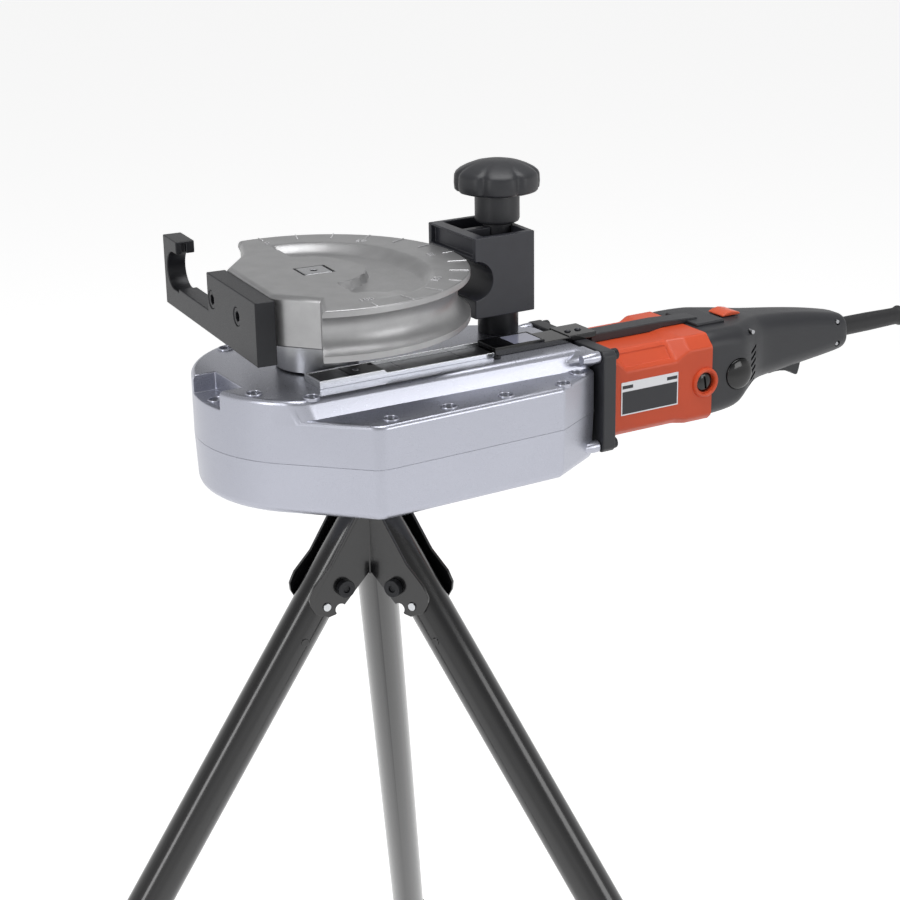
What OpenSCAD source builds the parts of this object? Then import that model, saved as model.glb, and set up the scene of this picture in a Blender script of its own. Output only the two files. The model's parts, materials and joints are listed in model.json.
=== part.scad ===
// Motor-driven pipe bender with an angle display, on a folding tripod.
// Millimetres. Origin: spindle axis at the former's top face. X runs to the handle, Z is up.

/* [Pipe and former] */
// Outside diameter of the pipe the grooves fit
pipe_d = 28; // [24:1:29]
// Radius of the bend along the pipe's centre line
bend_r = 115; // [113:0.5:117]
// Radius of the former's rim
former_r = 110; // [108:0.5:111]
// Height of the former
former_h = 36; // [34:1:38]
// Angle of the former at rest, measured from the dial's 90 mark facing the block
rest_turn = -4.7; // [-10:0.1:10]
// Side of the drive square on the spindle
drive_square = 20; // [18:0.5:21]
// Play of the former's window round the drive square
window_play = 2; // [1:0.5:3]
// Depth of the crescent recess in the former's top
recess_depth = 6; // [3:0.5:8]

/* [Hook bracket] */
// Thickness of the bracket
hook_t = 14.5; // [12:0.5:16]
// Height of the post's top above the former's top face
hook_rise = 5.5; // [3:0.5:10]

/* [Counter-former] */
// Size of the block along X
block_x = 50.5; // [48:0.5:54]
// Size of the block along Y
block_y = 67; // [60:1:72]
// Height of the block
block_z = 59.5; // [56:0.5:62]
// Play between the former's rim and the block
block_play = 2.5; // [1.5:0.5:4]
// Diameter of the post under the block
post_d = 30.4; // [28:0.2:32]
// Diameter of the star knob over its lobes
knob_d = 63.6; // [58:0.2:68]

/* [Gear housing] */
// Radius of the round nose
nose_r = 90; // [88:0.5:92]
// Distance from the former's top down to the housing's plateau
plateau_drop = 68.2; // [67.5:0.1:69]
// Height of the housing from its bottom to the plateau
housing_h = 82.8; // [80:0.4:86]
// Wall thickness of the castings
wall = 6; // [5:0.5:7]
// Distance from the spindle to the near side
near_side = 111; // [110:0.5:113]
// Distance from the spindle to the rear face
rear_x = 181; // [180:0.5:182]

/* [Gears] */
// Teeth of the worm wheel
wheel_teeth = 60; // [50:1:70]
// Teeth of the motor pinion
pinion_teeth = 9; // [9:1:10]
// Teeth of the large intermediate gear
large_teeth = 36; // [34:1:37]
// Teeth of the small intermediate gear
small_teeth = 11; // [10:1:11]
// Teeth of the gear on the worm shaft
worm_gear_teeth = 38; // [36:1:38]

/* [Motor and handle] */
// Distance of the motor's axis from the spindle along Y
motor_y = 43; // [42:0.5:44]
// Distance of the motor's axis below the former's top face
motor_drop = 106.2; // [105.6:0.2:107]
// Width of the motor case
case_w = 90; // [88:1:94]
// Height of the motor case
case_h = 63.5; // [62:0.5:67]
// Wall of the plastic mouldings
shell = 3; // [2.5:0.5:3.5]
// Width of the trigger
trigger_w = 16; // [14:1:18]

/* [Tripod] */
// Height of the housing's bottom above the floor
stand_h = 650; // [600:10:750]
// Outside diameter of a leg tube
tube_d = 30; // [28:1:30]
// Angle of a leg from the vertical
splay = 34.4; // [30:0.2:36]

/* [Hidden] */
$fn = 64;

eps = 0.01;
run = 0.05;
gap = 0.3;
aluminium = [0.62, 0.63, 0.66];
black = [0.06, 0.06, 0.07];
steel = [0.7, 0.7, 0.72];
orange = [0.86, 0.23, 0.07];

groove_r = pipe_d / 2 + 0.2;
groove_z = -former_h / 2;
flat_x = 51.5;
hook_front = -57;
hook_step = 40;
hook_low = -47;
hook_shelf = groove_z - groove_r + 2.5;
hook_post = [bend_r - 9, bend_r + 21];
hook_screw_y = [-20, 31];
hook_screw_z = -20;

plateau = -plateau_drop;
shelf_z = plateau - 13.3;
bottom_z = plateau - housing_h;
split_z = -113;
gasket_t = 0.6;
roof = 8;
slope_top = 74;
slope_foot = 78;
side_r = nose_r - 0.05;
facet_corner = [near_side - sqrt(2) * side_r, -near_side];
plan_facets = 128;
far_angle = 22 * 360 / plan_facets;
far_x = 153;
far_corner = [far_x, (side_r - far_x * cos(far_angle)) / sin(far_angle)];
outline_pts = [[0, 0], side_r * [cos(225), sin(225)], facet_corner, [rear_x - 43, -near_side],
  [rear_x, 25 - near_side], [rear_x, -8], far_corner, side_r * [cos(far_angle), sin(far_angle)]];
screw_ring = 80;
far_inset = nose_r - screw_ring + 1;
shelf_screws = [[2, -103.5], [48, -103], [94, -103], [142, -103], [165, -87.5]];
plateau_screws = [polar(screw_ring, -150), polar(screw_ring, -120), polar(screw_ring, 120),
  polar(screw_ring, 75), far_point(50), far_point(100)];
ledge_screw = [-screw_ring, 0];
ledge_x = -70;
screw_d = 5;
head_d = 8.4;
head_h = 5;
rim_h = 1;

shaft_r = 17.5;
collar_r = 30;
bearing_r = 31;
upper_bearing_z = plateau - 16;
lower_bearing_z = bottom_z + wall - 1;
bearing_h = 13;
wheel_r = 60;
wheel_w = 20;
tooth_add = 1.1;
worm_y = -77;
worm_z = split_z;
worm_crest = -worm_y - wheel_r - tooth_add - 0.4;
worm_wave = 2;
worm_len = 48;
worm_lead = 2 * PI * wheel_r / wheel_teeth;
worm_core = 8;
worm_tip = 4;
worm_end_r = 9.5;
worm_end_x = -33;
worm_end_w = 7;
worm_rear_x = 120;
worm_rear_w = 10;
worm_rear_r = 13;

motor = [-motor_y, -motor_drop];
worm = [worm_y, worm_z];
m1 = 0.94;
m2 = 0.9;
d1 = m1 * (pinion_teeth + large_teeth) / 2;
d2 = m2 * (small_teeth + worm_gear_teeth) / 2;
lay = third_point(motor, worm, d1, d2);
large_x = 158;
large_w = 12;
small_x = 140;
small_w = 13;
stub_r = 2.5;

adapter_x = rear_x + 1.7;
rear_boss_in = 13.4;
adapter_t = 11.3;
case_x = adapter_x + adapter_t;
case_l = 92.6;
rear_body_x = case_x + case_l;
flare_l = 23.6;
core_x = case_x + 21;
core_l = 47;
core_r = 20;
brush_x = case_x + 86;
brush_z = -motor_drop - 2.2;
brush_in = 12.5 + gap;
cap_l = 4.7;
cap_r = 7.5;
brush_out = case_w / 2 + 0.5 - cap_l;
boss_r = 11.5;
boss_out = 2.5;
handle_end = rear_body_x + 160;
handle_top = [[rear_body_x, -72.6], [rear_body_x + 31.4, -73], [rear_body_x + 61.4, -73.7],
  [rear_body_x + 101.4, -78.3], [rear_body_x + 132.4, -83.2], [handle_end, -89]];
handle_bottom = [[handle_end, -117.5], [rear_body_x + 132.4, -120.8], [rear_body_x + 85.4, -124],
  [rear_body_x + 61.4, -125.5], [rear_body_x + 42.4, -128], [rear_body_x + 27.4, -137],
  [rear_body_x, -139.2]];
handle_half = [[rear_body_x, 43], [rear_body_x + 35, 43], [rear_body_x + 46, 38],
  [rear_body_x + 62, 27], [rear_body_x + 82, 23], [rear_body_x + 114, 20], [handle_end, 17]];
dial = [rear_body_x + 27.4, -108];
dial_r = 12;
trigger_x = [rear_body_x + 85.4, rear_body_x + 118.4];
switch_top = -88;
slider_x = [rear_body_x + 31.4, rear_body_x + 59.4];
slider_travel = 5;
cord_z = -103;
cord_bore = 4.2;
vent_x = rear_body_x + 43.4;

tray_x = [-27.5, 113];
tray_y = [-57.5, -33.8];
tray_t = 1.5;
tray_tall = 5.7;
tray_low = 3.2;
tray_step = 24;
display_x = [113.4, 156];
cover_end = 179;
display_y = [-58, -33.5];
display_h = 6.6;
cover_h = 4.2;
lens_x = [131, 154];
link_x = [178, 202];
link_top = -63.4;
button_x = [184, 193];
button_y = -45.5;
button_r = 2.2;

hub = [16, -43];
plate_t = 4;
stud_at = 30;
stud_d = 8;
stud_rise = wall - 1;
leg_angles = [178.4, -61.6, 58.4];
pivot = [31.3, bottom_z - 65.8];
pivot_r = 4;
axis_offset = 4.75;
pin_at = [18, axis_offset];
pin_r = 3;
ear_in = tube_d / 2 + 0.5;
ear_t = 2.5;
bend_line = (ear_in + ear_t / 2) / tan(60);
bend_h = 56;
ear_start = bend_line + 0.9;
tube_up = 62;
leg_len = (stand_h - 65.8) / cos(splay) - 8 + tube_up;
floor_z = bottom_z - stand_h;

function polar(r, a) = r * [cos(a), sin(a)];
function unit(v) = v / norm(v);
function left(v) = [-v[1], v[0]];
function far_point(s) = (nose_r - far_inset) * [cos(far_angle), sin(far_angle)]
  + s * [sin(far_angle), -cos(far_angle)];
// Moves every side of a counterclockwise outline inwards by d.
function inset(p, d) = [for (i = [0:len(p) - 1])
  let (a = p[(i + len(p) - 1) % len(p)], b = p[i], c = p[(i + 1) % len(p)],
    n = left(unit(b - a)), m = left(unit(c - b)))
  b + d * (n + m) / (1 + n * m)];
// Third corner of a triangle on a and b, da from a and db from b, on the lower side.
function third_point(a, b, da, db) = let (c = norm(b - a), u = unit(b - a),
    k = (da * da + c * c - db * db) / (2 * c), h = sqrt(da * da - k * k))
  a + k * u + h * left(u) * (left(u)[1] < 0 ? 1 : -1);
// Straight-sided teeth, thinner than half the pitch so that a pair runs with backlash.
function gear_pts(z, m, add, phase) = let (r = z * m / 2, rr = r - 1.1 * m, rt = r + add,
    wr = 0.25 * m * PI / rr * 90 / PI, wt = 0.13 * m * PI / rt * 90 / PI)
  [for (i = [0:z - 1], k = [0:3]) let (c = phase + i * 360 / z)
    k == 0 ? polar(rr, c - 2 * wr) : k == 1 ? polar(rt, c - 2 * wt)
      : k == 2 ? polar(rt, c + 2 * wt) : polar(rr, c + 2 * wr)];
function direction(a, b) = atan2(b[1] - a[1], b[0] - a[0]);

module along_x(x, yz = [0, 0]) {
  translate([x, yz[0], yz[1]])
    rotate([90, 0, 90])
      children();
}
module slab(lo, hi) {
  translate(lo)
    cube(hi - lo);
}
module ring(outer, inner, h) {
  difference() {
    cylinder(r = outer, h = h);
    translate([0, 0, -eps])
      cylinder(r = inner, h = h + 2 * eps);
  }
}
module former_frame() {
  rotate([0, 0, rest_turn])
    children();
}

// Former, hook and spindle
module bending_former() {
  tick_t = 1;
  tick_h = 0.6;
  recess = concat([for (p = [[90, 84], [74, 85.5], [58, 84.5], [40, 82], [14, 78.5], [-9, 80],
      [-30, 85], [-50, 90], [-66, 95]]) polar(p[1], p[0])],
    [for (p = [[-91, 68], [-89, 41], [-40, 36.5], [-24, 36], [0, 34], [22, 33.5], [58, 39],
      [90, 42]]) polar(p[1], p[0])]);
  window = drive_square + 2 * window_play;
  color(aluminium)
    former_frame()
      difference() {
        translate([0, 0, -former_h])
          cylinder(r = former_r, h = former_h, $fn = 128);
        rotate_extrude($fn = 128)
          translate([bend_r, groove_z])
            circle(r = groove_r);
        translate([0, 0, -former_h - 1])
          linear_extrude(former_h + 2)
            polygon([[-16.7, 130], [-16.7, 104], [-27.7, 70.6], [-flat_x, 37.1],
              [-flat_x, -47.4], [-25.8, -73.3], [-36.4, -102.5], [-50, -130], [-130, -130],
              [-130, 130]]);
        translate([0, 0, -recess_depth])
          linear_extrude(recess_depth + 1)
            polygon(recess);
        slab([-window / 2, -drive_square / 2 - 1, -3], [window / 2, drive_square / 2 + 1, 1]);
        slab([-drive_square / 2 - 0.1, -drive_square / 2 - 0.1, -former_h - 1],
          [drive_square / 2 + 0.1, drive_square / 2 + 0.1, 0]);
        translate([0, 0, -former_h - eps])
          ring(50, 42, 3 + eps);
        for (y = hook_screw_y)
          translate([-flat_x - 1, y, hook_screw_z])
            rotate([0, 90, 0])
              cylinder(d = 8, h = 19);
      }
  // Dial marks: raised ribs that end just inside the rim.
  color(aluminium)
    former_frame()
      for (k = [0:12])
        rotate([0, 0, 90 - 15 * k])
          slab([former_r - (k % 3 == 0 ? 9 : 14), -tick_t / 2, -1],
            [former_r - 0.6, tick_t / 2, tick_h]);
}
module magnet_ring() {
  color([0.2, 0.2, 0.21])
    former_frame()
      translate([0, 0, -former_h])
        ring(50, 42, 3);
}
module hook_bracket() {
  x0 = -flat_x - hook_t;
  color(black)
    former_frame()
      difference() {
        union() {
          slab([x0, hook_front, hook_low], [-flat_x, hook_step, -2]);
          slab([x0, hook_step - 1, hook_low], [-flat_x, hook_post[1], hook_shelf]);
          slab([x0, hook_post[0], hook_low], [-flat_x, hook_post[1], hook_rise]);
        }
        translate([x0 - 1, bend_r, groove_z])
          rotate([0, 90, 0])
            cylinder(r = groove_r, h = hook_t + 2);
        slab([x0 - 1, hook_post[0] - 1, groove_z - groove_r], [-flat_x + 1, bend_r,
          groove_z + groove_r]);
        slab([x0 + 5, hook_post[0] - 1, groove_z + groove_r - 1], [x0 + 8, hook_post[0] + 2.5,
          hook_rise - 2]);
        for (y = hook_screw_y)
          translate([x0 - 1, y, hook_screw_z]) {
            rotate([0, 90, 0])
              cylinder(d = 13.4, h = 9.5);
            rotate([0, 90, 0])
              cylinder(d = 8.4, h = hook_t + 2);
          }
      }
}
module socket_screw(d, length, head, height) {
  difference() {
    union() {
      translate([0, 0, -length])
        cylinder(d = d, h = length + eps);
      cylinder(d = head, h = height);
    }
    translate([0, 0, height / 2])
      cylinder(d = d, h = height, $fn = 6);
  }
}
module hook_screws() {
  color(steel)
    former_frame()
      for (y = hook_screw_y)
        translate([-flat_x - hook_t + 8.5, y, hook_screw_z])
          rotate([0, -90, 0])
            socket_screw(8, hook_t + 8, 13, 8);
}
module spindle() {
  h = drive_square / 2;
  color(steel)
    former_frame()
      difference() {
        union() {
          slab([-h, -h, -former_h - 1], [h, h, 0]);
          translate([0, 0, plateau + 1])
            cylinder(r = collar_r, h = -former_h - plateau - 1);
          translate([0, 0, bottom_z + wall + 1])
            cylinder(r = shaft_r, h = plateau - bottom_z - wall);
        }
        translate([0, 0, -14])
          cylinder(d = 5, h = 15);
      }
}
module worm_wheel() {
  color([0.72, 0.52, 0.25])
    former_frame()
      difference() {
        union() {
          translate([0, 0, worm_z - wheel_w / 2])
            linear_extrude(wheel_w)
              polygon(gear_pts(wheel_teeth, 2 * wheel_r / wheel_teeth, tooth_add, 0));
          translate([0, 0, worm_z - wheel_w / 2 - 6])
            cylinder(r = 28, h = wheel_w + 16);
        }
        translate([0, 0, worm_z - 50])
          cylinder(r = shaft_r, h = 100);
        for (s = [0, 1])
          mirror([0, 0, s])
            translate([0, 0, s == 0 ? worm_z + 5 : -worm_z + 5])
              ring(52, 32, 10);
      }
}

// Gear housing
module plan(d) {
  q = inset(outline_pts, d);
  circle(r = nose_r - d, $fn = plan_facets);
  polygon([[0, 0], polar(side_r - d, 225), q[2], q[3], q[4], q[5], q[6],
    polar(side_r - d, far_angle)]);
}
module prism(z0, z1, d) {
  translate([0, 0, z0])
    linear_extrude(z1 - z0)
      plan(d);
}
module shelf_cut(drop) {
  translate([-150, 0, 0])
    rotate([90, 0, 90])
      linear_extrude(400)
        polygon([[-slope_top + drop, plateau + 1 - drop], [-slope_top + drop, plateau - drop],
          [-slope_foot + drop, shelf_z - drop], [-near_side - 20, shelf_z - drop],
          [-near_side - 20, plateau + 1 - drop]]);
}
module screw_sites(level) {
  for (p = level == 0 ? plateau_screws : level == 1 ? shelf_screws : [ledge_screw])
    translate(p)
      children();
}
module all_screws() {
  screw_sites(0)
    translate([0, 0, plateau])
      children();
  screw_sites(1)
    translate([0, 0, shelf_z])
      children();
  screw_sites(2)
    translate([0, 0, shelf_z])
      children();
}
module worm_supports(z0, z1) {
  intersection() {
    prism(z0, z1, 1);
    union() {
      slab([worm_end_x - 4, -120, z0], [worm_end_x + worm_end_w, -64, z1]);
      slab([worm_rear_x - 1, -120, z0], [worm_rear_x + worm_rear_w + 1, -58, z1]);
    }
  }
}
module worm_bores() {
  along_x(worm_end_x, worm)
    cylinder(r = worm_end_r, h = worm_end_w + eps);
  along_x(worm_rear_x, worm)
    cylinder(r = worm_rear_r, h = worm_rear_w);
  along_x(worm_rear_x - 2, worm)
    cylinder(r = worm_core + 1, h = worm_rear_w + 4);
}
module rear_bosses(top) {
  z = -motor_drop + (top ? 1 : -1) * 34;
  for (y = [-1, 1])
    along_x(rear_x - rear_boss_in, [-motor_y + 45 * y, z])
      cylinder(r = 6.5, h = rear_boss_in + adapter_x - rear_x);
}
module spigot_bore() {
  along_x(rear_x - wall - 10, motor)
    cylinder(r = 15, h = wall + 20);
}
module upper_housing() {
  color(aluminium)
    difference() {
      union() {
        difference() {
          prism(split_z + gasket_t / 2, plateau, 0);
          shelf_cut(0);
          difference() {
            prism(split_z - 1, plateau - roof, wall);
            shelf_cut(wall);
          }
        }
        all_screws()
          cylinder(r = 6, h = rim_h);
        screw_sites(0)
          translate([0, 0, split_z + gasket_t / 2])
            cylinder(r = 6, h = plateau - split_z - gasket_t / 2);
        for (k = [1, 2])
          screw_sites(k)
            translate([0, 0, split_z + gasket_t / 2])
              cylinder(r = 6, h = shelf_z - split_z - gasket_t / 2);
        translate([0, 0, upper_bearing_z - 5])
          cylinder(r = bearing_r + 6, h = plateau - upper_bearing_z + 5);
        translate([block_axis(), 0, plateau - 30])
          cylinder(r = 19, h = 30);
        worm_supports(split_z + gasket_t / 2, split_z + 22);
        rear_bosses(true);
        slab([rear_x - wall, -motor_y - 42, shelf_z - 3], [rear_x, -slope_top, -motor_drop + 36]);
      }
      difference() {
        slab([-nose_r - 1, -22, shelf_z], [ledge_x, 22, plateau + 5]);
        translate([ledge_screw[0], ledge_screw[1], shelf_z])
          cylinder(r = 6, h = rim_h);
      }
      all_screws() {
        translate([0, 0, -head_h - 1])
          cylinder(d = head_d + 0.6, h = 20);
        translate([0, 0, -80])
          cylinder(d = screw_d, h = 90);
      }
      translate([0, 0, upper_bearing_z])
        cylinder(r = bearing_r, h = bearing_h);
      translate([0, 0, upper_bearing_z - 10])
        cylinder(r = shaft_r + 1, h = 60);
      translate([0, 0, upper_bearing_z + bearing_h])
        cylinder(r = 25, h = 20);
      translate([block_axis(), 0, plateau - 25])
        cylinder(r = 11, h = 30);
      worm_bores();
      spigot_bore();
      for (y = [-1, 1])
        along_x(rear_x - 12, [-motor_y + 45 * y, -motor_drop + 34])
          cylinder(d = 6, h = 20);
    }
}
module lower_housing() {
  color(aluminium)
    difference() {
      union() {
        difference() {
          prism(bottom_z, split_z - gasket_t / 2, 0);
          prism(bottom_z + wall, split_z + 1, wall);
        }
        for (k = [0:2])
          screw_sites(k)
            translate([0, 0, bottom_z + 1])
              cylinder(r = 6, h = split_z - gasket_t / 2 - bottom_z - 1);
        translate([0, 0, bottom_z + 1])
          cylinder(r = bearing_r + 6, h = lower_bearing_z + bearing_h - bottom_z - 1);
        worm_supports(bottom_z + 1, split_z - gasket_t / 2);
        slab([worm_rear_x + worm_rear_w, lay[0] - 10, bottom_z + 1],
          [small_x - 2, lay[0] + 10, split_z - 1]);
        rear_bosses(false);
      }
      translate([0, 0, lower_bearing_z])
        cylinder(r = bearing_r, h = bearing_h + 1);
      for (k = [0:2])
        screw_sites(k)
          translate([0, 0, split_z - 22])
            cylinder(d = screw_d, h = 30);
      worm_bores();
      spigot_bore();
      along_x(small_x - 8, lay)
        cylinder(r = stub_r + run, h = rear_x - small_x + 6.5);
      for (a = leg_angles)
        translate(hub + polar(stud_at, a + 60))
          translate([0, 0, bottom_z - 1])
            cylinder(d = stud_d, h = stud_rise + 1);
      for (y = [-1, 1])
        along_x(rear_x - 12, [-motor_y + 45 * y, -motor_drop - 34])
          cylinder(d = 6, h = 20);
    }
}
module housing_gasket() {
  color([0.15, 0.2, 0.17])
    difference() {
      prism(split_z - gasket_t / 2, split_z + gasket_t / 2, 0.3);
      prism(split_z - 1, split_z + 1, wall);
      for (k = [0:2])
        screw_sites(k)
          translate([0, 0, split_z - 1])
            cylinder(d = screw_d, h = 2);
      worm_bores();
      spigot_bore();
    }
}
module housing_screws() {
  color(steel) {
    screw_sites(0)
      translate([0, 0, plateau - head_h - 1])
        socket_screw(screw_d, plateau - head_h - 1 - split_z + 20, head_d, head_h);
    for (k = [1, 2])
      screw_sites(k)
        translate([0, 0, shelf_z - head_h - 1])
          socket_screw(screw_d, shelf_z - head_h - 1 - split_z + 20, head_d, head_h);
  }
}

// Bearings and gear train
module bearing(outer, inner, w) {
  groove = (outer - inner) / 6;
  rotate_extrude()
    difference() {
      translate([inner, 0])
        square([outer - inner, w]);
      for (y = [0, w])
        translate([inner + 2 * groove, y - 0.5])
          square([2 * groove, 1]);
    }
}
module upper_spindle_bearing() {
  color(steel)
    translate([0, 0, upper_bearing_z])
      bearing(bearing_r, shaft_r + run, bearing_h);
}
module lower_spindle_bearing() {
  color(steel)
    translate([0, 0, lower_bearing_z])
      bearing(bearing_r, shaft_r + run, bearing_h);
}
module spindle_seal() {
  color(black)
    translate([0, 0, upper_bearing_z + bearing_h])
      ring(25, shaft_r + run, plateau - upper_bearing_z - bearing_h);
}
module worm_bearings() {
  color(steel) {
    along_x(worm_end_x, worm)
      bearing(worm_end_r, worm_tip + run, worm_end_w);
    along_x(worm_rear_x, worm)
      bearing(worm_rear_r, worm_core + run, worm_rear_w);
  }
}
module worm_shaft() {
  color(steel)
    translate([0, worm_y, worm_z]) {
      rotate([0, 90, 0])
        translate([0, 0, -worm_len / 2])
          linear_extrude(worm_len, twist = -360 * worm_len / worm_lead, slices = 90, $fn = 24)
            translate([worm_wave, 0])
              circle(r = worm_crest - worm_wave);
      translate([worm_end_x, 0, 0])
        rotate([0, 90, 0])
          cylinder(r = worm_tip, h = 20);
      translate([worm_len / 2 - 4, 0, 0])
        rotate([0, 90, 0])
          cylinder(r = worm_core, h = small_x + small_w + 6 - worm_len / 2);
    }
}
module worm_shaft_gear() {
  color(steel)
    along_x(small_x, worm)
      difference() {
        linear_extrude(small_w)
          polygon(gear_pts(worm_gear_teeth, m2, 0.7 * m2,
            direction(worm, lay) + 180 / worm_gear_teeth));
        translate([0, 0, -1])
          cylinder(r = worm_core, h = small_w + 2);
      }
}
module intermediate_gear() {
  color(steel) {
    along_x(small_x, lay)
      linear_extrude(large_x - small_x + eps)
        polygon(gear_pts(small_teeth, m2, 0.7 * m2, direction(lay, worm)));
    along_x(large_x, lay)
      linear_extrude(large_w)
        polygon(gear_pts(large_teeth, m1, 0.7 * m1,
          direction(lay, motor) + 180 / large_teeth));
    along_x(small_x - 7, lay)
      cylinder(r = stub_r, h = 8);
    along_x(large_x + large_w - 1, lay)
      cylinder(r = stub_r, h = rear_x - large_x - large_w - 1);
  }
}

// Motor
module octagon(w, h, c) {
  polygon([[-w / 2, -h / 2 + c], [-w / 2 + c, -h / 2], [w / 2 - c, -h / 2], [w / 2, -h / 2 + c],
    [w / 2, h / 2 - c], [w / 2 - c, h / 2], [-w / 2 + c, h / 2], [-w / 2, h / 2 - c]]);
}
module adapter_flange() {
  color(black)
    difference() {
      union() {
        along_x(adapter_x, motor)
          linear_extrude(adapter_t)
            octagon(104, 77, 8);
        along_x(rear_x - wall + 0.5, motor)
          cylinder(r = 15, h = wall + 3);
      }
      along_x(rear_x - wall - 1, motor)
        cylinder(r = 6.5, h = wall + 30);
      along_x(adapter_x + adapter_t - 9, motor)
        cylinder(r = 13, h = 10);
      for (y = [-1, 1], z = [-1, 1])
        along_x(adapter_x - 1, [-motor_y + 45 * y, -motor_drop + 34 * z])
          cylinder(d = 6, h = adapter_t + 2);
    }
}
module adapter_bolts() {
  color([0.12, 0.12, 0.13])
    for (y = [-1, 1], z = [-1, 1])
      along_x(case_x, [-motor_y + 45 * y, -motor_drop + 34 * z])
        socket_screw(6, 22, 10, 6);
}
module brush_bosses(r, deep) {
  for (side = [-1, 1])
    translate([brush_x, -motor_y + side * (case_w / 2 + boss_out - deep / 2), brush_z])
      rotate([90, 0, 0])
        cylinder(r = r, h = deep, center = true);
}
module motor_case() {
  color(orange)
    difference() {
      union() {
        along_x(case_x, motor)
          linear_extrude(case_l)
            octagon(case_w - 2, case_h, 14);
        along_x(rear_body_x - flare_l, motor)
          linear_extrude(flare_l)
            octagon(case_w, case_h + 3.5, 14);
        brush_bosses(boss_r, 8);
      }
      along_x(case_x + shell, motor)
        linear_extrude(case_l)
          octagon(case_w - 2 - 2 * shell, case_h - 2 * shell, 12);
      along_x(case_x - 1, motor)
        cylinder(r = 24, h = 10);
      translate([brush_x, -motor_y, brush_z])
        rotate([90, 0, 0])
          cylinder(r = cap_r + 0.1, h = case_w + 2 * boss_out + 2, center = true);
    }
}
module field_core() {
  r = case_h / 2 - shell;
  far = case_w / 2 - 1 - shell;
  root = r - 4;
  color([0.3, 0.3, 0.32])
    along_x(core_x - 2, motor)
      difference() {
        union() {
          cylinder(r = r, h = core_l + 4);
          for (s = [-1, 1])
            translate([s * (far + root) / 2, 0, (core_l + 4) / 2])
              cube([far - root, 26, core_l + 4], center = true);
        }
        translate([0, 0, -1])
          cylinder(r = core_r + 0.6, h = core_l + 6);
      }
}
module armature_shaft() {
  color(steel) {
    along_x(large_x - 1, motor)
      linear_extrude(large_w + 2)
        polygon(gear_pts(pinion_teeth, m1, 0.7 * m1, direction(motor, lay)));
    along_x(large_x + large_w + 1 - eps, motor)
      cylinder(r = 5, h = rear_body_x + 14 - large_x - large_w - 1);
  }
}
module armature_core() {
  slots = 12;
  color([0.35, 0.33, 0.32])
    along_x(core_x, motor)
      difference() {
        union() {
          cylinder(r = core_r, h = core_l);
          translate([0, 0, -6])
            cylinder(r = 15, h = core_l + 12);
        }
        for (i = [0:slots - 1])
          rotate([0, 0, i * 360 / slots])
            translate([core_r - 2, -0.8, -1])
              cube([3, 1.6, core_l + 2]);
        translate([0, 0, -10])
          cylinder(r = 5, h = core_l + 20);
      }
}
module commutator() {
  color([0.72, 0.45, 0.28])
    along_x(brush_x - 9, motor)
      ring(12.5, 5, 17);
}
module cooling_fan() {
  blades = 10;
  color(black)
    along_x(case_x + 5, motor)
      difference() {
        union() {
          ring(21, 5, 1.6);
          ring(8, 5, 8);
          for (i = [0:blades - 1])
            rotate([0, 0, i * 360 / blades])
              translate([7, -0.8, 0])
                cube([14, 1.6, 8]);
        }
        translate([0, 0, -1])
          cylinder(r = 5, h = 12);
      }
}
module motor_bearings() {
  color(steel) {
    along_x(case_x - 9, motor)
      bearing(13, 5 + run, 8);
    along_x(rear_body_x + 6, motor)
      bearing(9.5, 5 + run, 7);
  }
}
module carbon_brushes() {
  color([0.1, 0.1, 0.1])
    for (s = [-1, 1])
      translate([brush_x, -motor_y + s * (brush_in + brush_out) / 2, brush_z + 1])
        cube([8, brush_out - brush_in, 6], center = true);
}
module brush_caps() {
  color([0.05, 0.05, 0.05])
    for (s = [-1, 1])
      translate([brush_x, -motor_y, brush_z])
        rotate([90 * s, 0, 0])
          difference() {
            translate([0, 0, brush_out])
              cylinder(r = cap_r, h = cap_l);
            translate([-5, -0.9, case_w / 2 - 1.2])
              cube([10, 1.8, 3]);
          }
}
module rating_plate() {
  color([0.55, 0.56, 0.58])
    slab([case_x + 9.6, -motor_y - case_w / 2 + 1 - 0.5, -121.5],
      [case_x + 61.4, -motor_y - case_w / 2 + 1, -96]);
}
module cable_duct() {
  top = -motor_drop + 38.8;
  low = -motor_drop + case_h / 2;
  color(black)
    difference() {
      slab([link_x[1], -motor_y - 7.5, low], [rear_body_x - flare_l, -motor_y + 7.5, top]);
      slab([link_x[1] - 1, -motor_y - 5.5, low - 1], [rear_body_x, -motor_y + 5.5, top - 2]);
    }
}

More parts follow.
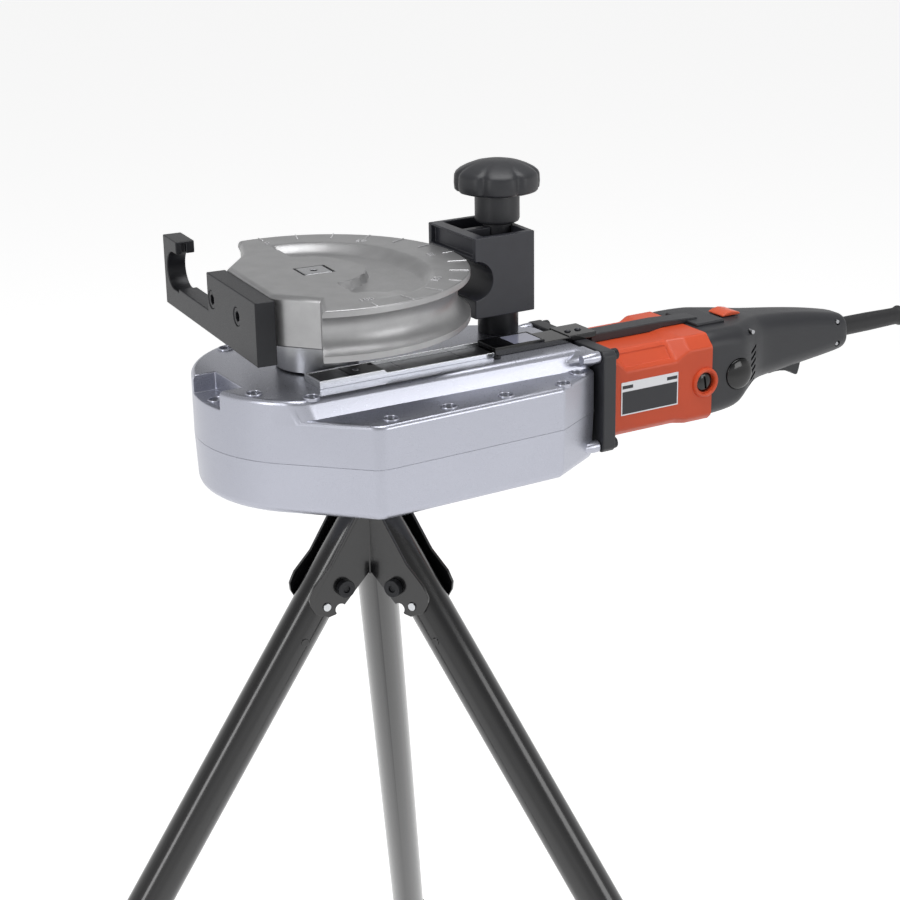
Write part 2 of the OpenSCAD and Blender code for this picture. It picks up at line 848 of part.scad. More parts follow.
// Rear body and handle
module handle_solid(d) {
  profile = concat(handle_top, handle_bottom);
  right = [for (p = handle_half) [p[0], -motor_y - p[1]]];
  far = [for (i = [len(handle_half) - 1:-1:0]) [handle_half[i][0], -motor_y + handle_half[i][1]]];
  around = [for (i = [len(profile) - 1:-1:0]) profile[i]];
  intersection() {
    translate([0, 50, 0])
      rotate([90, 0, 0])
        linear_extrude(200)
          polygon(inset(around, d));
    translate([0, 0, -200])
      linear_extrude(200)
        polygon(inset(concat(right, far), d));
  }
}
module handle_shell() {
  slot_z = [for (i = [0:5]) -93.5 - 5.3 * i];
  difference() {
    handle_solid(0);
    handle_solid(shell);
    along_x(rear_body_x - 1, motor)
      cylinder(r = 13.5, h = 3);
    along_x(rear_body_x - 1, motor)
      cylinder(r = 6, h = 10);
    slab([trigger_x[0] - 1, -motor_y - trigger_w / 2 - 0.5, -140],
      [trigger_x[1] + 1, -motor_y + trigger_w / 2 + 0.5, -115]);
    slab([slider_x[0] + 7, -motor_y - 3.5, -80], [slider_x[1] - 7, -motor_y + 3.5, -60]);
    translate([dial[0], -motor_y, dial[1]])
      rotate([90, 0, 0])
        cylinder(r = dial_r + gap, h = 60);
    along_x(handle_end - 10, [-motor_y, cord_z])
      cylinder(r = 7.7, h = 20);
    for (z = slot_z)
      slab([vent_x, -motor_y - 60, z - 1.2], [vent_x + 7, -motor_y + 60, z + 1.2]);
    for (p = handle_screw_sites())
      translate([p[0], -motor_y, p[1]])
        rotate([90, 0, 0])
          cylinder(r = 1.6, h = 100, center = true);
  }
}
function handle_screw_sites() = [[rear_body_x + 44, -79], [rear_body_x + 148, -92.5],
  [rear_body_x + 148, -110.5]];
module handle_bosses() {
  for (p = handle_screw_sites())
    translate([p[0], -motor_y, p[1]])
      rotate([90, 0, 0])
        difference() {
          cylinder(r = 3.6, h = 90, center = true);
          cylinder(r = 1.6, h = 100, center = true);
        }
}
module handle_half_body(near) {
  difference() {
    union() {
      handle_shell();
      intersection() {
        union() {
          handle_bosses();
          slab([trigger_x[0], -motor_y - 40, switch_top], [trigger_x[1], -motor_y + 40, -60]);
        }
        handle_solid(1);
      }
      intersection() {
        along_x(rear_body_x + 2, motor)
          ring(13, 9.5, 11);
        handle_solid(0.5);
      }
      intersection() {
        along_x(rear_body_x + 2, motor)
          linear_extrude(3)
            difference() {
              square([200, 6], center = true);
              circle(r = 12);
            }
        handle_solid(0.5);
      }
    }
    slab([rear_body_x - 10, near ? -motor_y : -motor_y - 100, -200],
      [handle_end + 10, near ? -motor_y + 100 : -motor_y, 0]);
    brush_bosses(boss_r + gap, 10);
  }
}
module handle_near_half() {
  color(black)
    handle_half_body(true);
}
module handle_far_half() {
  color(black)
    handle_half_body(false);
}
module handle_screws() {
  color(steel)
    for (p = handle_screw_sites())
      translate([p[0], -motor_y, p[1]])
        rotate([90, 0, 0])
          cylinder(r = 1.6, h = p[0] < rear_body_x + 100 ? 76 : 32, center = true);
}
module speed_dial() {
  y = -motor_y - handle_half[0][1];
  color([0.1, 0.1, 0.11])
    translate([dial[0], y, dial[1]])
      rotate([90, 0, 0])
        rotate_extrude()
          polygon([[0, -9], [8, -9], [8, -4], [dial_r, -4], [dial_r, 0], [dial_r - 1, 1.5],
            [dial_r - 4, 2.8], [0, 3.4]]);
}
module direction_switch() {
  top = -69.4;
  color(orange)
    translate([0, -motor_y, 0]) {
      slab([slider_x[0] + slider_travel, -9, -72.9], [slider_x[1] - slider_travel, 9, top]);
      slab([slider_x[0] + 12.5, -3, -75], [slider_x[1] - 12.5, 3, -72]);
    }
}
module trigger() {
  color(black)
    translate([0, -motor_y + trigger_w / 2, 0])
      rotate([90, 0, 0])
        linear_extrude(trigger_w)
          polygon([[trigger_x[0], -127.5], [trigger_x[0] + 12, -126.6], [trigger_x[1] - 12, -128],
            [trigger_x[1] - 6, -133], [trigger_x[1] - 2.5, -133], [trigger_x[1], -124],
            [trigger_x[1], -117.5], [trigger_x[0], -117.5]]);
}
module switch_module() {
  color([0.12, 0.12, 0.12])
    slab([trigger_x[0] - 4, -motor_y - 9, -111], [trigger_x[1] + 4, -motor_y + 9, switch_top]);
}
module speed_board() {
  color([0.1, 0.3, 0.15])
    slab([rear_body_x + 17, -motor_y - handle_half[0][1] + shell, -94],
      [rear_body_x + 19, -motor_y + handle_half[0][1] - shell, -79]);
}
module cord_guard() {
  color(black)
    along_x(handle_end - 8, [-motor_y, cord_z])
      rotate_extrude()
        polygon([[cord_bore, 0], [7.7, 0], [7.7, 42], [6.9, 72], [8.2, 74.5], [8.2, 76],
          [cord_bore, 76]]);
}

// Display
module tray_wall(y0, y1) {
  slab([tray_x[0], y0, plateau], [tray_step, y1, plateau + tray_tall]);
  slab([tray_step, y0, plateau], [tray_x[1], y1, plateau + tray_low]);
}
module display_tray() {
  color(steel) {
    slab([tray_x[0], tray_y[0], plateau], [tray_x[1], tray_y[1], plateau + tray_t]);
    tray_wall(tray_y[0], tray_y[0] + tray_t);
    tray_wall(tray_y[1] - tray_t, tray_y[1]);
    slab([tray_x[0], tray_y[0], plateau], [tray_x[0] + tray_t, tray_y[1], plateau + tray_tall]);
  }
}
module sensor_cover() {
  inside = [tray_y[0] + tray_t, tray_y[1] - tray_t];
  color(black) {
    difference() {
      slab([-8, inside[0], plateau + tray_t], [tray_step, inside[1], plateau + tray_tall - 0.5]);
      slab([-6, inside[0] + 2, plateau], [tray_step - 2, inside[1] - 2, plateau + 4]);
    }
    slab([tray_step, inside[0], plateau + tray_t],
      [tray_x[1], inside[1], plateau + tray_low - 0.6]);
  }
}
module angle_sensor() {
  color([0.1, 0.3, 0.15])
    slab([-5, tray_y[0] + 6, plateau + tray_t], [18, tray_y[1] - 6, plateau + 3.8]);
}
module display_housing() {
  link_y = [display_y[0] + 1, -30];
  adapter_top = -motor_drop + 38.5;
  color([0.03, 0.03, 0.035])
    difference() {
      union() {
        slab([display_x[0], display_y[0], plateau], [display_x[1], display_y[1],
          plateau + display_h]);
        slab([display_x[1] - 1, display_y[0], plateau], [cover_end, display_y[1],
          plateau + cover_h]);
        slab([link_x[0], link_y[0], adapter_top], [link_x[1], link_y[1], link_top]);
      }
      slab([display_x[0] + 2, display_y[0] + 2, plateau - 1], [cover_end - 2, display_y[1] - 2,
        plateau + 2.6]);
      slab([lens_x[0], display_y[0] + 2, plateau + display_h - 1.2], [lens_x[1],
        display_y[1] - 2, plateau + display_h + 1]);
      for (x = button_x)
        translate([x, button_y, adapter_top + 0.8])
          cylinder(r = button_r + gap, h = 20);
    }
}
module display_lens() {
  color([0.55, 0.56, 0.66])
    slab([lens_x[0], display_y[0] + 2, plateau + display_h - 1.2], [lens_x[1],
      display_y[1] - 2, plateau + display_h - 0.2]);
}
module button(x) {
  color([0.15, 0.15, 0.16])
    translate([x, button_y, link_top])
      rotate_extrude()
        polygon([[0, -2.2], [button_r, -2.2], [button_r, 0.7], [button_r - 0.5, 1.1], [0, 1.2]]);
}
module zero_button() {
  button(button_x[0]);
}
module mode_button() {
  button(button_x[1]);
}

// Counter-former with its post and knob
function block_lo() = former_r + block_play;
function block_axis() = block_lo() + 39.5;
module counter_former() {
  top = block_z - 46.2;
  lo = block_lo();
  hi = lo + block_x;
  color([0.09, 0.09, 0.1])
    difference() {
      slab([lo, -block_y / 2, -46.2], [hi, block_y / 2, top]);
      translate([lo + 0.5 + 2.5 - block_play, 0, groove_z])
        rotate([90, 0, 0])
          cylinder(r = groove_r, h = block_y + 2, center = true);
      slab([lo + 10, 1, -10], [hi - 5, block_y / 2 - 5, top + 1]);
      slab([lo + 10, -block_y / 2 + 5, -10], [hi - 5, -6, top + 1]);
      slab([lo - 1, -block_y / 2 + 4, -1], [lo + 4, block_y / 2 - 4, top - 1.5]);
      slab([block_axis() - 10.3, -10.3, -47], [block_axis() + 10.3, 10.3, -24.5]);
      translate([block_axis(), 0, -30])
        cylinder(d = 12.6, h = 60);
      translate([block_axis(), 0, 0])
        cylinder(d = 22, h = 30);
    }
}
module block_post() {
  color(steel)
    difference() {
      union() {
        translate([block_axis(), 0, plateau])
          cylinder(d = post_d, h = -46.5 - plateau);
        translate([block_axis(), 0, plateau - 25])
          cylinder(r = 11, h = 26);
        slab([block_axis() - 10, -10, -47], [block_axis() + 10, 10, -25]);
      }
      translate([block_axis(), 0, -62])
        cylinder(d = 12.6, h = 60);
    }
}
module clamping_knob() {
  lobes = 7;
  first_groove = 12.7;
  z0 = 38;
  h = 20;
  color(black)
    translate([block_axis(), 0, 0])
      difference() {
        union() {
          translate([0, 0, -56])
            cylinder(d = 12, h = 60);
          translate([0, 0, 1])
            cylinder(d = 21, h = 16);
          translate([0, 0, 15])
            cylinder(r1 = 14, r2 = 16.6, h = 2.5);
          translate([0, 0, 17.5])
            cylinder(r = 16.6, h = z0 - 17);
          intersection() {
            translate([0, 0, z0])
              cylinder(r = knob_d / 2, h = h);
            union() {
              translate([0, 0, z0])
                cylinder(r1 = knob_d / 2, r2 = knob_d / 2 + 8, h = 14);
              translate([0, 0, z0 + 14])
                cylinder(r1 = knob_d / 2, r2 = knob_d / 2 - 12, h = 8);
            }
          }
          translate([0, 0, z0 + h - 1])
            cylinder(r1 = 19, r2 = 8, h = 5);
        }
        for (i = [0:lobes - 1])
          rotate([0, 0, first_groove + i * 360 / lobes])
            translate([knob_d / 2 + 2.4, 0, z0 - 1])
              cylinder(r = 4, h = h + 10);
      }
}

// Tripod
module leg_plane(k) {
  translate([hub[0], hub[1], 0])
    rotate([0, 0, leg_angles[k]])
      children();
}
module cross_pin(r, z, d, w) {
  translate([r, 0, z])
    rotate([90, 0, 0])
      cylinder(d = d, h = w, center = true);
}
module tripod_plate() {
  color(black)
    translate([hub[0], hub[1], bottom_z - plate_t]) {
      difference() {
        union() {
          cylinder(r = 42, h = plate_t);
          for (a = leg_angles)
            rotate([0, 0, a + 60])
              translate([stud_at, 0, 0])
                cylinder(d = stud_d, h = plate_t + stud_rise);
        }
        for (a = leg_angles)
          rotate([0, 0, a + 60])
            translate([stud_at, 0, -1])
              cylinder(d = 4, h = 3, $fn = 6);
      }
    }
}
function leg_point(s, n) = [pivot[0] + s * sin(splay) + n * cos(splay),
  pivot[1] - s * cos(splay) + n * sin(splay)];
module ear() {
  top = bottom_z - plate_t;
  p = pivot;
  color(black)
    rotate([90, 0, 0])
      linear_extrude(ear_t)
        difference() {
          polygon([[ear_start, top], [ear_start, p[1] + 7.8], [p[0] - 1.3, p[1] - 12.4],
            [p[0] + 7.2, p[1] - 19.7], [p[0] + 12.7, p[1] - 20.7], [p[0] + 23, p[1] - 16],
            [p[0] + 26.7, p[1] - 9.2], [p[0] + 27.2, p[1] - 3.2], [p[0] + 23.2, p[1] + 4.8],
            [p[0] + 9.7, p[1] + 18.8], [p[0] - 6.3, p[1] + 44.3], [p[0] - 17, top]]);
          translate(pivot)
            circle(r = pivot_r);
          translate([p[0] + 3.2, p[1] - 16.2])
            circle(r = 4);
          translate(leg_point(pin_at[0], pin_at[1]))
            circle(r = pin_r);
        }
}
module leg_brackets() {
  color(black)
    for (k = [0:2]) {
      leg_plane(k)
        translate([0, ear_in + ear_t, 0])
          ear();
      leg_plane((k + 1) % 3)
        translate([0, -ear_in, 0])
          ear();
      leg_plane(k)
        translate([bend_line, ear_in + ear_t / 2, bottom_z - plate_t - bend_h])
          cylinder(r = ear_t / 2 + 0.35, h = bend_h - 0.2);
    }
}
module pivot_bolts() {
  w = 2 * (ear_in + ear_t);
  color([0.1, 0.1, 0.1])
    for (k = [0:2])
      leg_plane(k) {
        cross_pin(pivot[0], pivot[1], 2 * pivot_r, w + 4);
        for (s = [-1, 1])
          translate([0, s * (w / 2 + 2.5), 0])
            difference() {
              cross_pin(pivot[0], pivot[1], 13, 5);
              translate([0, s * 2, 0])
                cross_pin(pivot[0], pivot[1], 5, 3);
            }
      }
}
module detent_pins() {
  p = leg_point(pin_at[0], pin_at[1]);
  color(steel)
    for (k = [0:2], side = [-1, 1])
      leg_plane(k)
        translate([0, side * (ear_in + (ear_t + 1.4) / 2), 0])
          cross_pin(p[0], p[1], 2 * pin_r, ear_t + 1.4);
}
module leg_frame(k) {
  leg_plane(k)
    translate([pivot[0], 0, pivot[1]])
      rotate([0, 180 - splay, 0])
        translate([-axis_offset, 0, 0])
          children();
}
module leg_tube(k) {
  rivet = leg_point(48, axis_offset);
  color(black)
    difference() {
      union() {
        leg_frame(k)
          translate([0, 0, -tube_up])
            ring(tube_d / 2, tube_d / 2 - 1.5, leg_len);
        leg_plane(k)
          for (side = [-1, 1])
            translate([0, side * (tube_d / 2 - 0.5), 0])
              cross_pin(rivet[0], rivet[1], 5.6, 3);
      }
      leg_plane(k) {
        cross_pin(pivot[0], pivot[1], 2 * (pivot_r + run), tube_d + 4);
        translate([9.5 - 100, -50, pivot[1]])
          cube([100, 100, 100]);
        translate([-50, -50, bottom_z - plate_t - 1.5])
          cube([100, 100, 60]);
      }
      leg_plane(k)
        difference() {
          cross_pin(pivot[0], pivot[1], 160, tube_d + 4);
          cross_pin(pivot[0], pivot[1], 120, tube_d + 6);
          translate([-200, -50, pivot[1] - 300])
            cube([400, 100, 300]);
        }
    }
}
module leg_foot(k) {
  end = leg_len - tube_up;
  r = tube_d / 2;
  color([0.05, 0.05, 0.05])
    difference() {
      leg_frame(k)
        difference() {
          union() {
            translate([0, 0, end - 40])
              cylinder(r = r + 2.5, h = 40);
            translate([0, 0, end])
              cylinder(r = r + 2.5, h = 60);
          }
          translate([0, 0, end - 41])
            cylinder(r = r, h = 41);
        }
      translate([-900, -900, floor_z - 200])
        cube([1800, 1800, 200]);
    }
}
module left_leg_tube() {
  leg_tube(0);
}
module right_leg_tube() {
  leg_tube(1);
}
module rear_leg_tube() {
  leg_tube(2);
}
module left_leg_foot() {
  leg_foot(0);
}
module right_leg_foot() {
  leg_foot(1);
}
module rear_leg_foot() {
  leg_foot(2);
}

bending_former();
magnet_ring();
hook_bracket();
hook_screws();
spindle();
worm_wheel();
upper_housing();
lower_housing();
housing_gasket();
housing_screws();
upper_spindle_bearing();
lower_spindle_bearing();
spindle_seal();
worm_bearings();
worm_shaft();
worm_shaft_gear();
intermediate_gear();
adapter_flange();
adapter_bolts();
motor_case();
field_core();
armature_shaft();
armature_core();
commutator();
cooling_fan();
motor_bearings();
carbon_brushes();
brush_caps();
rating_plate();
cable_duct();
handle_near_half();
handle_far_half();
handle_screws();
speed_dial();
direction_switch();
trigger();
switch_module();
speed_board();
cord_guard();
display_tray();
sensor_cover();
angle_sensor();
display_housing();
display_lens();
zero_button();
mode_button();
counter_former();
block_post();
clamping_knob();
tripod_plate();
leg_brackets();
pivot_bolts();
detent_pins();
left_leg_tube();
right_leg_tube();
rear_leg_tube();
left_leg_foot();
right_leg_foot();
rear_leg_foot();
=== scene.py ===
"""Motor-driven pipe bender with an angle display, on a folding tripod.

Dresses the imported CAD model: rounded castings, moulded plastics, screws, dial marks and finishes.
Shapes are built in millimetres in the CAD frame and turned to metres when a piece is finished.
"""
import json
from math import acos, cos, pi, radians, sin, sqrt, tan

import bmesh
import bpy
from mathutils import Matrix, Vector


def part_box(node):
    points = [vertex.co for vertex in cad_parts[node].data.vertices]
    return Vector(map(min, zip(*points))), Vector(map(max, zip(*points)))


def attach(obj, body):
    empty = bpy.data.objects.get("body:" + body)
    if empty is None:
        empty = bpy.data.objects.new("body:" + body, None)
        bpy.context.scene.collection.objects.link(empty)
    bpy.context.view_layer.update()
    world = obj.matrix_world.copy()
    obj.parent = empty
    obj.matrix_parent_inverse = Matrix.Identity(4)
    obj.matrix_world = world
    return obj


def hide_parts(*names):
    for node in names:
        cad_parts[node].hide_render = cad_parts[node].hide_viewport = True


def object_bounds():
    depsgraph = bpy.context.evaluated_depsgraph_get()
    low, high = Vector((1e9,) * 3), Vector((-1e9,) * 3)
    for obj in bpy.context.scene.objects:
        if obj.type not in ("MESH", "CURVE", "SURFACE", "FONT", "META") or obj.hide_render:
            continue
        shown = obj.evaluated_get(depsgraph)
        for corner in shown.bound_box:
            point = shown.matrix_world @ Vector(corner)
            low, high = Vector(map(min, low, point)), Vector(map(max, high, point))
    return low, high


bl_info = {
    "name": "Pipe bender",
    "version": (1, 0, 0),
    "blender": (4, 5, 0),
    "location": "3D View > Sidebar > Pipe bender",
    "description": "Builds a motor-driven pipe bender's pieces and finishes round its CAD model",
    "category": "Object",
}

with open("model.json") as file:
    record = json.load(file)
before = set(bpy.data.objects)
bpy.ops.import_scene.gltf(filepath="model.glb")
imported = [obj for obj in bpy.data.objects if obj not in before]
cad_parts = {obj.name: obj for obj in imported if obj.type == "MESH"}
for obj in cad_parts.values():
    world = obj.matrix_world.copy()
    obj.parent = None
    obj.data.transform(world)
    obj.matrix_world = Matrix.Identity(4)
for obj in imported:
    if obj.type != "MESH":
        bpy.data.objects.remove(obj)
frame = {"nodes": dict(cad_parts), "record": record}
CAD_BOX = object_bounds()
MM = 0.001
FLOOR = CAD_BOX[0].z
AXIS_X, AXIS_Z = Vector((1, 0, 0)), Vector((0, 0, 1))

# The sizes below are in millimetres, and heights count from the former's top face.
# Gear housing: its levels, its nose, near side and rear, its wall and the spindle's seat.
PLATEAU = -68.2
SHELF = -81.5
SPLIT = -113.0
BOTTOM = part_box("lower_housing")[0].z / MM
NOSE_R = 90.0
NEAR_SIDE = 111.0
REAR_X = 181.0
WALL = 6.0
SEAT_R = 25.0
# Former: its angle at rest, its rim, the pipe's groove and the marks and numbers of its dial.
REST_TURN = radians(-4.7)
FORMER_R = 110.0
FORMER_H = 36.0
BEND_R = 115.0
GROOVE_R = 14.2
MARK_COUNT = 13
MARK_STEP = pi / 12
NUMBER_SIZE = 7.5
NUMBER_R = 91.5
NUMBER_STROKE = 0.06
# Half widths of the window round the drive square and of its hole, and the window's depth.
WINDOW_X, WINDOW_Y, WINDOW_DEEP = 12, 11, 3
DRIVE_HOLE = 10.1
# Counter-former's axis along X.
BLOCK_X = 152.0
# Motor and handle: the motor's axis, its case and adapter, the brushes, the dial and the cord.
MOTOR_Y = -43.0
MOTOR_Z = -106.2
CASE_X = 194.0
CASE_W, CASE_H = 88, 63.5
ADAPTER_W, ADAPTER_H = 104, 77
ADAPTER_BOLTS = [(MOTOR_Y + 45 * s, MOTOR_Z + 34 * t) for s in (-1, 1) for t in (-1, 1)]
REAR_BODY_X = 286.6
BRUSH_AT = (280.0, MOTOR_Y, -108.4)
DIAL_AT = (314.0, MOTOR_Y - 33.5, -108.0)
CORD_Z = -103.0
# Half the gap where two mouldings meet, the reach within which points merge, and a random seed.
PARTING = 0.06
WELD = 0.002
SCREW_SEED = 1


def linear(hex_colour):
    """An sRGB hex colour as the linear RGBA that Blender's sockets take."""
    parts = [int(hex_colour[i:i + 2], 16) / 255 for i in (1, 3, 5)]
    return (*[c / 12.92 if c <= 0.04045 else ((c + 0.055) / 1.055) ** 2.4 for c in parts], 1.0)


# Shapes, in millimetres
def outward(bm):
    bmesh.ops.recalc_face_normals(bm, faces=bm.faces)
    return bm


def loft(rings, closed=False):
    """A skin over rings of equally many points; it is capped unless it closes on itself."""
    bm = bmesh.new()
    made = [[bm.verts.new(p) for p in ring] for ring in rings]
    pairs = list(zip(made, made[1:])) + ([(made[-1], made[0])] if closed else [])
    for a, b in pairs:
        for i in range(len(a)):
            j = (i + 1) % len(a)
            bm.faces.new((a[i], a[j], b[j], b[i]))
    if not closed:
        bm.faces.new(reversed(made[0]))
        bm.faces.new(made[-1])
    return outward(bm)


def prism(points, low, high):
    """An upright solid on an outline."""
    return loft([[(x, y, z) for x, y in points] for z in (low, high)])


def block(low, high):
    """A box between two corners, as raw stock to be cut or rounded."""
    (x0, y0, z0), (x1, y1, z1) = low, high
    return prism([(x0, y0), (x1, y0), (x1, y1), (x0, y1)], z0, z1)


def circle(r, z, steps):
    """Points of a level circle round Z; a circle without a radius is one point."""
    turns = [2 * pi * i / steps for i in range(steps if r else 1)]
    return [(r * cos(t), r * sin(t), z) for t in turns]


def lathe(profile, steps=64, closed=False):
    """A solid of revolution round Z; profile points are (radius, height)."""
    bm = bmesh.new()
    rings = [[bm.verts.new(p) for p in circle(r, z, steps)] for r, z in profile]
    pairs = list(zip(rings, rings[1:])) + ([(rings[-1], rings[0])] if closed else [])
    for a, b in pairs:
        for i in range(steps):
            j = (i + 1) % steps
            corners = [a[i % len(a)], a[j % len(a)], b[j % len(b)], b[i % len(b)]]
            corners = list(dict.fromkeys(corners))
            if len(corners) > 2:
                bm.faces.new(corners)
    return outward(bm)


def rod(radius, low, high, steps):
    """A round bar along Z, as a plug or a drill; six steps make it a hexagon."""
    return lathe([(0, low), (radius, low), (radius, high), (0, high)], steps)


def bar(side_view, low, high):
    """A solid on a side view of (x, z) points, between two places along Y."""
    return loft([[(x, y, z) for x, z in side_view] for y in (low, high)])


def stacked(outline, levels):
    """A loft of an outline that takes its inset, over levels of (height, inset)."""
    return loft([[(x, y, z) for x, y in outline(d)] for z, d in levels])


def at(bm, place, facing=None, spin=0.0):
    """Moves a shape to a place, its Z axis turned to face a direction."""
    turn = Matrix.Rotation(spin, 4, "Z")
    if facing is not None:
        turn = Vector(facing).to_track_quat("Z", "Y").to_matrix().to_4x4() @ turn
    bm.transform(Matrix.Translation(place) @ turn)
    return bm


def turned(bm, angle, axis="Z", centre=(0, 0, 0)):
    there, back = Matrix.Translation(centre), Matrix.Translation(-Vector(centre))
    bm.transform(there @ Matrix.Rotation(angle, 4, axis) @ back)
    return bm


def as_mesh(bm, name="work"):
    mesh = bpy.data.meshes.new(name)
    bm.to_mesh(mesh)
    bm.free()
    return mesh


def as_shape(mesh):
    bm = bmesh.new()
    bm.from_mesh(mesh)
    bpy.data.meshes.remove(mesh)
    return bm


def linked(name, data):
    """A new object that stands in the scene."""
    obj = bpy.data.objects.new(name, data)
    bpy.context.collection.objects.link(obj)
    return obj


def evaluated(obj):
    """A plain mesh of an object with its modifiers worked in."""
    return bpy.data.meshes.new_from_object(
        obj.evaluated_get(bpy.context.evaluated_depsgraph_get()))


def together(shapes):
    """Several separate shapes as one mesh."""
    whole = bmesh.new()
    for bm in shapes:
        mesh = as_mesh(bm)
        whole.from_mesh(mesh)
        bpy.data.meshes.remove(mesh)
    return whole


def merged(bm, flat=0.2):
    bmesh.ops.remove_doubles(bm, verts=bm.verts, dist=WELD)
    bmesh.ops.dissolve_limit(bm, angle_limit=radians(flat), verts=bm.verts, edges=bm.edges)
    return bm


def worked(base, *tools, how="DIFFERENCE"):
    """Cuts solids out of the base, or joins them to it."""
    made = [linked("work", as_mesh(bm)) for bm in (base, *tools)]
    for tool in made[1:]:
        cut = made[0].modifiers.new("cut", "BOOLEAN")
        cut.operation = how
        cut.solver = "MANIFOLD"
        cut.object = tool
    bm = as_shape(evaluated(made[0]))
    for obj in made:
        mesh = obj.data
        bpy.data.objects.remove(obj)
        bpy.data.meshes.remove(mesh)
    return merged(bm)


def softened(bm, width, steps=3, pick=None, angle=30):
    """Rounds the edges that turn by more than an angle and that pick chooses by their middle."""
    edges = []
    for e in bm.edges:
        if len(e.link_faces) == 2 and e.calc_face_angle(0) > radians(angle):
            if pick is None or pick((e.verts[0].co + e.verts[1].co) / 2, e):
                edges.append(e)
    bmesh.ops.bevel(bm, geom=edges, offset=width, offset_type="OFFSET", segments=steps,
                    profile=0.5, affect="EDGES", clamp_overlap=False)
    return bm


def inset(points, d):
    """Moves every side of a counterclockwise outline inwards by d."""
    result = []
    n = len(points)
    for i in range(n):
        a, b, c = (Vector(points[(i + k) % n]) for k in (-1, 0, 1))
        u, v = (b - a).normalized(), (c - b).normalized()
        p, q = Vector((-u.y, u.x)), Vector((-v.y, v.x))
        result.append(tuple(b + d * (p + q) / (1 + p.dot(q))))
    return result


def arc(radius, start, end, steps, centre=(0, 0)):
    turns = [start + (end - start) * i / steps for i in range(steps + 1)]
    return [(centre[0] + radius * cos(t), centre[1] + radius * sin(t)) for t in turns]


def rounded_box(low, high, width, steps=3):
    return softened(block(low, high), width, steps)


def disc(radius, height, edge=0.5, steps=48):
    """A round plug with softened rims, from 0 up to its height."""
    e, top = edge * 0.3, height - edge
    return lathe([(0, 0), (radius - edge, 0), (radius - e, e), (radius, edge), (radius, top),
                  (radius - e, height - e), (radius - edge, height), (0, height)], steps)


def socket_head(radius, height, edge, key, depth, place=(0, 0, 0)):
    """A screw's round head that stands on a place, with a hexagon socket in its top."""
    x, y, z = place
    return worked(at(disc(radius, height, edge), place),
                  at(rod(key, 0, 2 * depth, 6), (x, y, z + height - depth)))


def node_shape(node, flat=0.3):
    """A merged copy of a CAD node's mesh, in millimetres."""
    bm = bmesh.new()
    bm.from_mesh(frame["nodes"][node].data)
    bm.transform(Matrix.Scale(1 / MM, 4))
    return merged(bm, flat)


# Pieces
def piece(name, bm, body, slot, *nodes, look=None, smooth=35):
    """Finishes a shape as an object in metres that rides on a body and stands for CAD nodes.

    It has the finish of its slot, or of look where that is given.
    """
    bm.transform(Matrix.Scale(MM, 4))
    mesh = as_mesh(bm, name)
    mesh.materials.append(mat(look or slot))
    mesh.shade_smooth()
    mesh.set_sharp_from_angle(angle=radians(smooth))
    obj = linked(name, mesh)
    even = obj.modifiers.new("Even shading", "WEIGHTED_NORMAL")
    even.keep_sharp = True
    settle(obj)
    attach(obj, body)
    if nodes:
        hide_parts(*nodes)
    return obj


def settle(obj):
    """Turns an object and its modifiers into a plain mesh."""
    plain = evaluated(obj)
    obj.modifiers.clear()
    old = obj.data
    obj.data = plain
    plain.name = obj.name
    bpy.data.meshes.remove(old)


def dressed(node, width, body, slot, steps=2, look=None):
    """A CAD node with its edges softened."""
    bm = softened(node_shape(node), width, steps, angle=35)
    return piece(node + "_dressed", bm, body, slot, node, look=look)


# Materials
def add(tree, kind, inputs=None, **settings):
    """Adds a node with its settings, values and links."""
    made = tree.nodes.new(kind)
    for key, value in settings.items():
        setattr(made, key, value)
    for key, value in (inputs or {}).items():
        if isinstance(value, bpy.types.NodeSocket):
            tree.links.new(value, made.inputs[key])
        else:
            made.inputs[key].default_value = value
    return made


